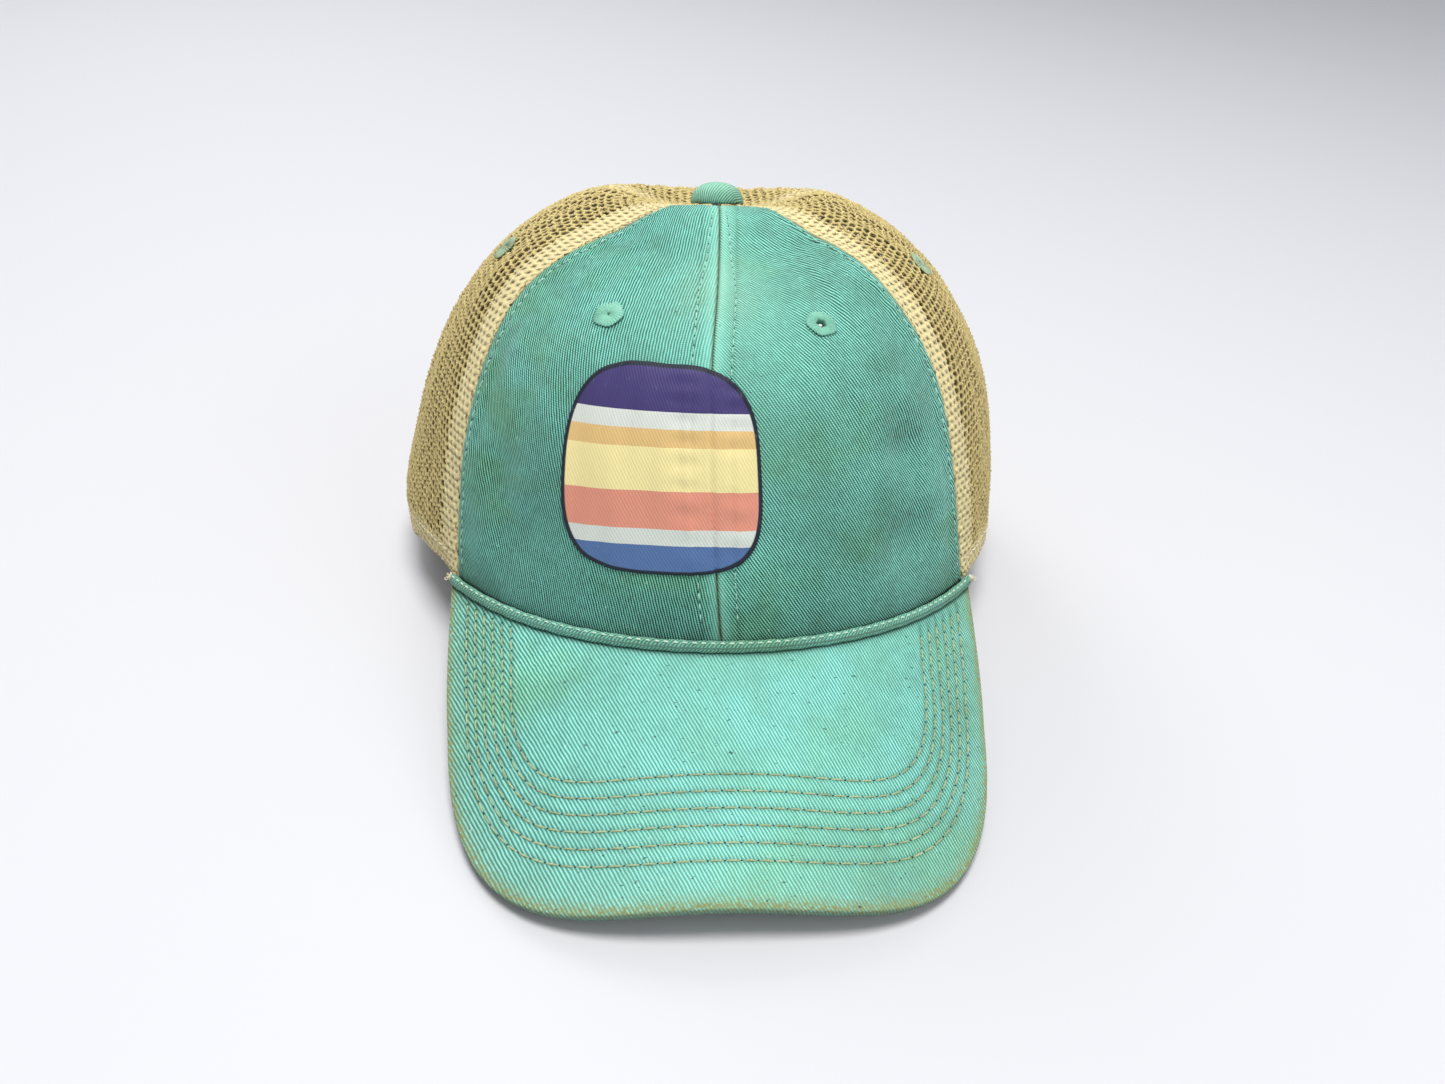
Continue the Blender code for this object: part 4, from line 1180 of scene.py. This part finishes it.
for k, plan in enumerate(ROW_PLANS, 1):
    path, up = visor_at(plan, 0.16), visor_normal(plan[:, 0])
    under = visor_at(plan, UNDER_TOP + COVER_THICK + 0.02)
    stitches(f"visor_stitches_{k}", path, up, LOOK["olive"], 4.0, 0.90, 0.25)
    needle_holes(f"visor_needle_holes_{k}", path, up, 4.0, 0.24, lift=0.06)
    stitches(f"visor_under_stitches_{k}", under, -up, LOOK["olive"], 4.0, 0.72, 0.25)


# The flattened welt that hides the joint between crown and visor

WELT_SIDES = 20
spots = visor_root(1.05, 220)
count = len(spots)
centre = visor_at(spots, -1.60)
along = unit(np.gradient(centre, axis=0))
lean = np.stack([-spots[:, 0] * 0.0032, -spots[:, 1] * 0.0032, np.ones(count)], -1)
rise = unit(lean - along * (lean * along).sum(-1, keepdims=True))
out = unit(np.cross(along, rise))
swell = 1.0 + 0.05 * np.sin(np.arange(count) * 0.61) + 0.03 * np.sin(np.arange(count) * 1.9)
cos, sin = circle(WELT_SIDES)
wide = np.outer(swell, 0.86 * np.sign(cos) * np.abs(cos) ** 0.8)[..., None]
tall = np.outer(swell, 1.62 * np.sign(sin) * np.abs(sin) ** 0.9)[..., None]
points = (centre[:, None] + out[:, None] * wide + rise[:, None] * tall).reshape(-1, 3)
round_it = np.linspace(0, 10.5, WELT_SIDES)
uv = np.stack(np.broadcast_arrays(walked(centre)[:, None], round_it), -1).reshape(-1, 2) * MM
marks = {key: np.full(len(points), value) for key, value in (("wear_and_painted_shade", 0.12), ("pale", 0.15), ("shade", 0.0))}
faces = tube_faces(count, WELT_SIDES)
faced_out(build("front_seam_welt", points, faces, LOOK["welt"], uv, marks))
stitches("welt_stitches", centre + rise * 1.15 + out * 0.66, unit(out + rise), LOOK["pale"], 2.5, 0.60, 0.28)


# Topstitching of the crown


def seam_path(seam, offset, low, high, lift=None):
    """A path beside a seam, on the front's relief or at this lift, as lifted() gives it."""
    t = np.linspace(low, high, 320)
    step = across_step(seam, t)
    angle = seam + offset * np.minimum(1.0, step * 25.0 / 22.0) / step
    return lifted(angle, t, front_relief(angle, t) if lift is None else lift)


for name, seam, offset in (
    ("centre_stitches_left", 0.0, -CENTRE_STITCH),
    ("centre_stitches_right", 0.0, CENTRE_STITCH),
    ("side_stitches_left", -FRONT_SEAM, SIDE_STITCH),
    ("side_stitches_right", FRONT_SEAM, -SIDE_STITCH),
):
    path, up = seam_path(seam, offset, 0.03, 0.93)
    stitches(name, path, up, LOOK["mint"], 3.0, 0.74, 0.23)
    needle_holes(name + "_holes", path, up, 3.0, 0.20)

for side, sign in SIDES:
    for offset, label in ((REAR_STITCH, "a"), (-REAR_STITCH, "b")):
        path, up = seam_path(sign * REAR_SEAM, offset, 0.02, 0.90, lift=0.18)
        stitches(f"rear_stitches_{side}_{label}", path, up, LOOK["cream"], 3.2, 0.74, 0.22)
    angles = sign * np.linspace(FRONT_SEAM + 1.5, BAND_END + 6.0, 400)
    path, up = lifted(angles, t_along(angles, HEM_STITCH, 8), 0.18)
    stitches("hem_stitches_" + side, path, up, LOOK["cream"], 3.2, 0.74, 0.22)


# Eyelets, embroidered over with close radial thread, and the button


def turned_ring(at, up, around, reach, high):
    """A ring of points about an axis, with its reach and height at each turn."""
    side = unit(np.cross([0.0, 0.0, 1.0], up))
    cos, sin = circle(around)
    flat = side * (cos * reach)[:, None] + np.cross(up, side) * (sin * reach)[:, None]
    return at + flat + up * high[:, None]


def eyelet(name, angle, t, hole, look):
    at, up = lifted(angle, t, 0.08)
    # (reach, height) from the hole's outer rim over the outside to the inside; the first six are outside
    profile = [(hole, 0.15), (hole + 0.25, 0.42), (2.1, 0.58), (3.2, 0.46), (4.0, 0.24), (4.1, 0.10)]
    profile += [(3.0, 0.05), (2.25, 0.0), (2.2, -1.1), (3.3, -1.15), (3.4, -1.6)]
    profile += [(hole + 0.3, -1.7), (hole, -1.3)]
    around = 136
    turns = np.arange(around) * math.tau / around
    threads = np.cos(turns * 27)
    rings = []
    for k, (reach, high) in enumerate(profile):
        ridge = 0.17 * threads * (1.0 if 0 < k < 5 or 8 < k < 12 else 0.3)
        ragged = 0.16 * np.sin(turns * 5 + angle) + 0.22 * threads * (1.0 if k > 3 else 0.2)
        reach = reach + (ragged if k in (0, 1, 4, 5) else 0.0) + ridge * 0.3
        rings.append(turned_ring(at, up, around, reach, high + ridge * (1 if k < 6 else -0.5)))
    points = np.concatenate(rings)
    faces = grid_faces(len(profile) + 1, around, loop=True) % len(points)
    build(name, points, closed(points, faces), look)


for family, (angle, t) in EYELETS.items():
    for side, sign in SIDES:
        hole = 0.45 if (family, side) == ("front", "left") else 1.35
        look = LOOK["eyelet" if family == "front" else "teal"]
        eyelet(f"eyelet_{family}_{side}", sign * angle, t, hole, look)

# The button's cover, gathered at its rim: (reach, height) from the middle of its top to inside
COVER_PROFILE = ((0.0, 6.9), (1.2, 6.85), (2.6, 6.65), (4.0, 6.25), (5.2, 5.65), (6.2, 4.85), (7.0, 3.9))
COVER_PROFILE += ((7.5, 2.8), (7.7, 1.8), (7.65, 1.05), (7.5, 0.72), (7.45, 0.85), (7.5, 1.6), (6.9, 2.8))
COVER_PROFILE += ((5.3, 4.05), (2.9, 4.8), (0.0, 5.0))
around = 96
turns = np.arange(around) * math.tau / around
cos, sin = circle(around)
points, uv = [], []
for k, (reach, high) in enumerate(COVER_PROFILE):
    fold = 0.16 * np.sin(turns * 9 + 0.7) * smooth((reach - 3.5) / 4.0)
    fold = fold + 0.06 * np.sin(turns * 23) * smooth((reach - 5.5) / 3.0)
    fold = fold if 0 < k < 11 else fold * 0.0
    up = unit(np.array([0.0, TOP_TILT, 1.0]))
    here = reach - np.abs(fold) * 0.8
    points.append(turned_ring(np.array([0.0, TOP_Y, TOP_Z]), up, around, here, high + fold * 0.6))
    uv.append(np.stack([cos, sin], -1) * (reach + max(0, 5 - high)) * MM)
points = np.concatenate(points)
high = np.repeat([high for _, high in COVER_PROFILE], around)
# The cover is paler towards its top, and darker at its gathered foot by painted shade
marks = {
    "wear_and_painted_shade": np.full(len(points), 0.10),
    "pale": smooth((high - 3.0) / 2.5) * 0.5,
    "shade": 0.4 * fading(high, 0.7, 1.6),
}
faces = grid_faces(len(COVER_PROFILE), around, loop=True)
cover = build("button_cover", points, faces, LOOK["button"], np.concatenate(uv), marks)
faced_out(cover, weld=0.001)


# Print: a plain film badge with level bands


def badge_points(lift, x, y):
    t = BADGE_T + BADGE_HALF_T * y + BADGE_SKEW * y * y
    angle = BADGE_ANGLE + BADGE_HALF_ANGLE * x
    return layer(angle, t, -(front_relief(angle, t) + lift))


around = 150
cos, sin = circle(around, 0.5)
shares = np.concatenate([[0.004], np.linspace(0.03, 0.90, 30), np.linspace(0.92, 1.0, 6)])
x = np.outer(shares, np.sign(cos) * np.abs(cos) ** 0.62).ravel()
y = np.outer(shares, np.sign(sin) * np.abs(sin) ** 0.62).ravel()
n = len(x)
face = grid_faces(len(shares), around, loop=True)
first, last = np.arange(around), np.arange(n - around, n)
rim = np.stack([last, np.roll(last, -1), np.roll(last, -1) + n, last + n], -1)
faces = [tuple(f) for f in np.concatenate([face, face + n, rim])] + [tuple(first), tuple(first + n)]
points = np.concatenate([badge_points(0.42, x, y), badge_points(0.06, x, y)])
uv = np.tile(np.stack([x, y], -1) * 29.0 * MM, (2, 1))
marks = {"level": np.tile(0.5 + 0.5 * y, 2), "ring": np.tile(np.repeat(shares, around), 2)}
faced_out(build("front_print", points, faces, LOOK["print"], uv, marks))


# Frayed thread at the ends of the welt


def tuft(side, sign, end):
    at, outside = end + np.array([0.5 * sign, 0.3, 0.3]), np.array([0.8 * sign, -0.3, 0.2])
    cos, sin = (part[:, None] for part in circle(5))
    points, faces = [], []
    for _ in range(12):
        path = [at + rng.normal(0, 0.40, 3)]
        heading = unit(outside + rng.normal(0, 0.7, 3))
        for _ in range(8):
            heading = unit(heading + rng.normal(0, 0.50, 3) - (path[-1] - at) * 0.55)
            path.append(path[-1] + heading * 0.36)
        path = np.array(path)
        along = unit(np.gradient(path, axis=0))
        across = unit(np.cross(along, [0.3, 0.4, 0.87]))
        up = np.cross(across, along)
        faces += tube_faces(len(path), 5, len(points))
        points += list((path[:, None] + (across[:, None] * cos + up[:, None] * sin) * 0.17).reshape(-1, 3))
    faced_out(build("corner_tuft_" + side, np.array(points), faces, LOOK["cream"]))


tuft("left", -1.0, centre[0])
tuft("right", 1.0, centre[-1])


# Snap straps, shaped flat and laid round the back

STRAP_HALF = STRAP_WIDE / 2
RAYS = 40  # the plate round each hole or peg is a fan of rays, with RAY_POINTS points along each
RAY_POINTS = 6
HOLE_RADIUS = 2.4
PEG_FOOT = 2.05
# A peg's shaft and head: (radius, height over the strap)
PEG_PROFILE = ((1.6, 0.12), (1.55, 1.15), (1.95, 1.35), (2.0, 1.7), (1.5, 2.1), (0.7, 2.28))


def back_path(along, depth):
    """Points of the level back rim this far from its middle, positive towards +X, and this deep."""
    angles = np.linspace(180.0, 100.0, 700)
    angle = np.interp(np.abs(along), walked(np.stack(rim_plan(angles), -1)), angles)
    angle = np.where(along < 0, 360.0 - angle, angle)
    at, ahead, behind = (np.stack(rim_plan(angle + step), -1) for step in (0.0, 0.2, -0.2))
    return at - sideways(unit(ahead - behind)) * depth[..., None]


def room(x, turn, low, high, tip):
    """How far the plate reaches from x in a direction, between low and high and within its round tip."""
    c, s = math.cos(turn), math.sin(turn)
    far = 60.0
    if abs(c) > 1e-6:
        far = min(far, ((high if c > 0 else low) - x) / c)
    if abs(s) > 1e-6:
        far = min(far, STRAP_HALF / abs(s))
    inward = -math.copysign(1.0, tip)
    middle = tip + inward * STRAP_HALF
    if (x + far * c - middle) * inward < 0:
        away = x - middle
        far = min(far, -away * c + math.sqrt(max(STRAP_HALF**2 - (away * s) ** 2, 0.0)))
    return far


def loop_faces(first, second):
    """Faces between two closed loops of points."""
    return [tuple(face) for face in np.stack([first, np.roll(first, -1), np.roll(second, -1), second], -1)]


def strap(name, start, tip, depth, features, pegs):
    """A strap with holes or pegs at the features along it. Flat, X runs along it, Y inwards and Z up."""
    edges = [min(start, tip)] + [(a + b) / 2 for a, b in zip(features, features[1:])] + [max(start, tip)]
    points, faces = [], []
    for x, low, high in zip(features, edges, edges[1:]):
        # The rays nearest the corners of the plate's piece go right into them
        turns = [math.tau * (k + 0.5) / RAYS for k in range(RAYS)]
        for cross in (low - x, high - x):
            for rim in (-STRAP_HALF, STRAP_HALF):
                corner = math.atan2(rim, cross) % math.tau
                turns[min(range(RAYS), key=lambda k: abs(turns[k] - corner))] = corner
        fan = []
        for turn in turns:
            reach = np.linspace(PEG_FOOT if pegs else HOLE_RADIUS, room(x, turn, low, high, tip), RAY_POINTS)
            fan.append(np.stack([x + math.cos(turn) * reach, reach * 0.0, math.sin(turn) * reach], -1))
        fan = np.array(fan)
        rounded = 0.22 * fading(np.minimum(STRAP_HALF - np.abs(fan[..., 2]), 1.0), 0.0, 0.5)
        if not pegs:
            rounded[:, 0] = 0.2
        inner_loops = []
        for y, turned in ((0.0, -1.0), (-STRAP_THICK, 1.0)):
            index = np.arange(RAYS * RAY_POINTS).reshape(RAYS, RAY_POINTS).T + len(points)
            plate = fan.copy()
            plate[..., 1] = y + turned * rounded
            points += list(plate.reshape(-1, 3))
            for first, second in zip(index, index[1:]):
                faces += loop_faces(first, second)
            inner_loops.append(index[0])
        if pegs:
            faces.append(tuple(inner_loops[1]))
            loop = inner_loops[0]
            cos, sin = circle(RAYS, 0.5)
            for radius, height in PEG_PROFILE:
                follow = np.arange(RAYS) + len(points)
                points += list(np.stack([x + cos * radius, np.full(RAYS, height), sin * radius], -1))
                faces += loop_faces(loop, follow)
                loop = follow
            faces.append(tuple(loop))
        else:
            faces += loop_faces(*inner_loops)
    points = np.array(points)
    plan = back_path(points[:, 0], depth - points[:, 1])
    laid = np.concatenate([plan, STRAP_LOW + STRAP_HALF + points[:, 2:]], -1)
    uv = points[:, [0, 2]] * MM
    obj = build(name, laid, faces, LOOK["plastic"], uv, body=name)
    faced_out(obj, weld=0.02, bridge=True)


hole_middles = [k * STRAP_PITCH for k in range(-4, 3)]
peg_middles = [k * STRAP_PITCH for k in range(-2, 5)]
strap("hole_strap", -STRAP_AXIS - 0.6, STRAP_TIP, HOLE_STRAP_DEPTH, hole_middles, pegs=False)
strap("peg_strap", STRAP_AXIS + 0.6, -STRAP_TIP, PEG_STRAP_DEPTH, peg_middles, pegs=True)

# CAD nodes that stay get their own finish
for name, look in (
    ("visor_board", "board"),
    ("button_core", "steel"),
    ("button_backing", "steel"),
    ("hole_strap_root", "plastic"),
    ("peg_strap_root", "plastic"),
):
    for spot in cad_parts[name].material_slots:
        spot.material = LOOK[look]


# Floor, light and camera

floor_mesh = bpy.data.meshes.new("floor")
floor_mesh.from_pydata([(-3, -3, 0), (3, -3, 0), (3, 3, 0), (-3, 3, 0)], [], [(0, 1, 2, 3)])
floor = added("floor", floor_mesh)
floor.location.z = -0.0005
floor_look = Maker("pale_floor")
floor_look.shader["Base Color"].default_value = (0.62, 0.62, 0.65, 1.0)
floor_look.shader["Roughness"].default_value = 0.7
floor_mesh.materials.append(floor_look.material)

world = bpy.data.worlds.new("studio")
world.use_nodes = True
world.node_tree.nodes["Background"].inputs["Color"].default_value = (0.92, 0.95, 1.0, 1.0)
world.node_tree.nodes["Background"].inputs["Strength"].default_value = 0.45
bpy.context.scene.world = world


def lamp(name, spot, size, power, colour=(1.0, 1.0, 1.0)):
    """A round lamp that looks at the cap's lower middle."""
    data = bpy.data.lights.new(name, "AREA")
    data.shape = "DISK"
    data.size = size
    data.energy = power
    data.color = colour
    obj = added(name, data)
    obj.location = spot
    obj.rotation_euler = (Vector((0.0, 0.0, 0.05)) - Vector(spot)).to_track_quat("-Z", "Y").to_euler()


lamp("key", (0.02, -0.24, 1.3), 0.5, 15.5, (1.0, 0.99, 0.96))
lamp("fill", (0.9, -0.8, 0.7), 1.0, 3.6, (0.96, 0.98, 1.0))
lamp("rear", (-0.5, 1.0, 0.9), 0.8, 6.0)

# The camera's place, turn and focal length in pixels were solved from the photo
CAMERA_AT = (-0.02113, -0.30798, 0.2396)
YAW, PITCH, ROLL = math.radians(4.65), math.radians(34.98), math.radians(2.91)
FOCAL_PIXELS, PHOTO_WIDTH, SENSOR = 1195.54, 1445.0, 36.0
lens = bpy.data.cameras.new("camera")
lens.sensor_width = SENSOR
lens.lens = SENSOR * FOCAL_PIXELS / PHOTO_WIDTH
lens.clip_start = 0.01
camera = added("camera", lens)
camera.matrix_world = Matrix.Translation(CAMERA_AT)
for angle, axis in ((-YAW, "Z"), (math.pi / 2 - PITCH, "X"), (ROLL, "Z")):
    camera.matrix_world = camera.matrix_world @ Matrix.Rotation(angle, 4, axis)
bpy.context.scene.camera = camera
bpy.context.scene.view_settings.view_transform = "Standard"
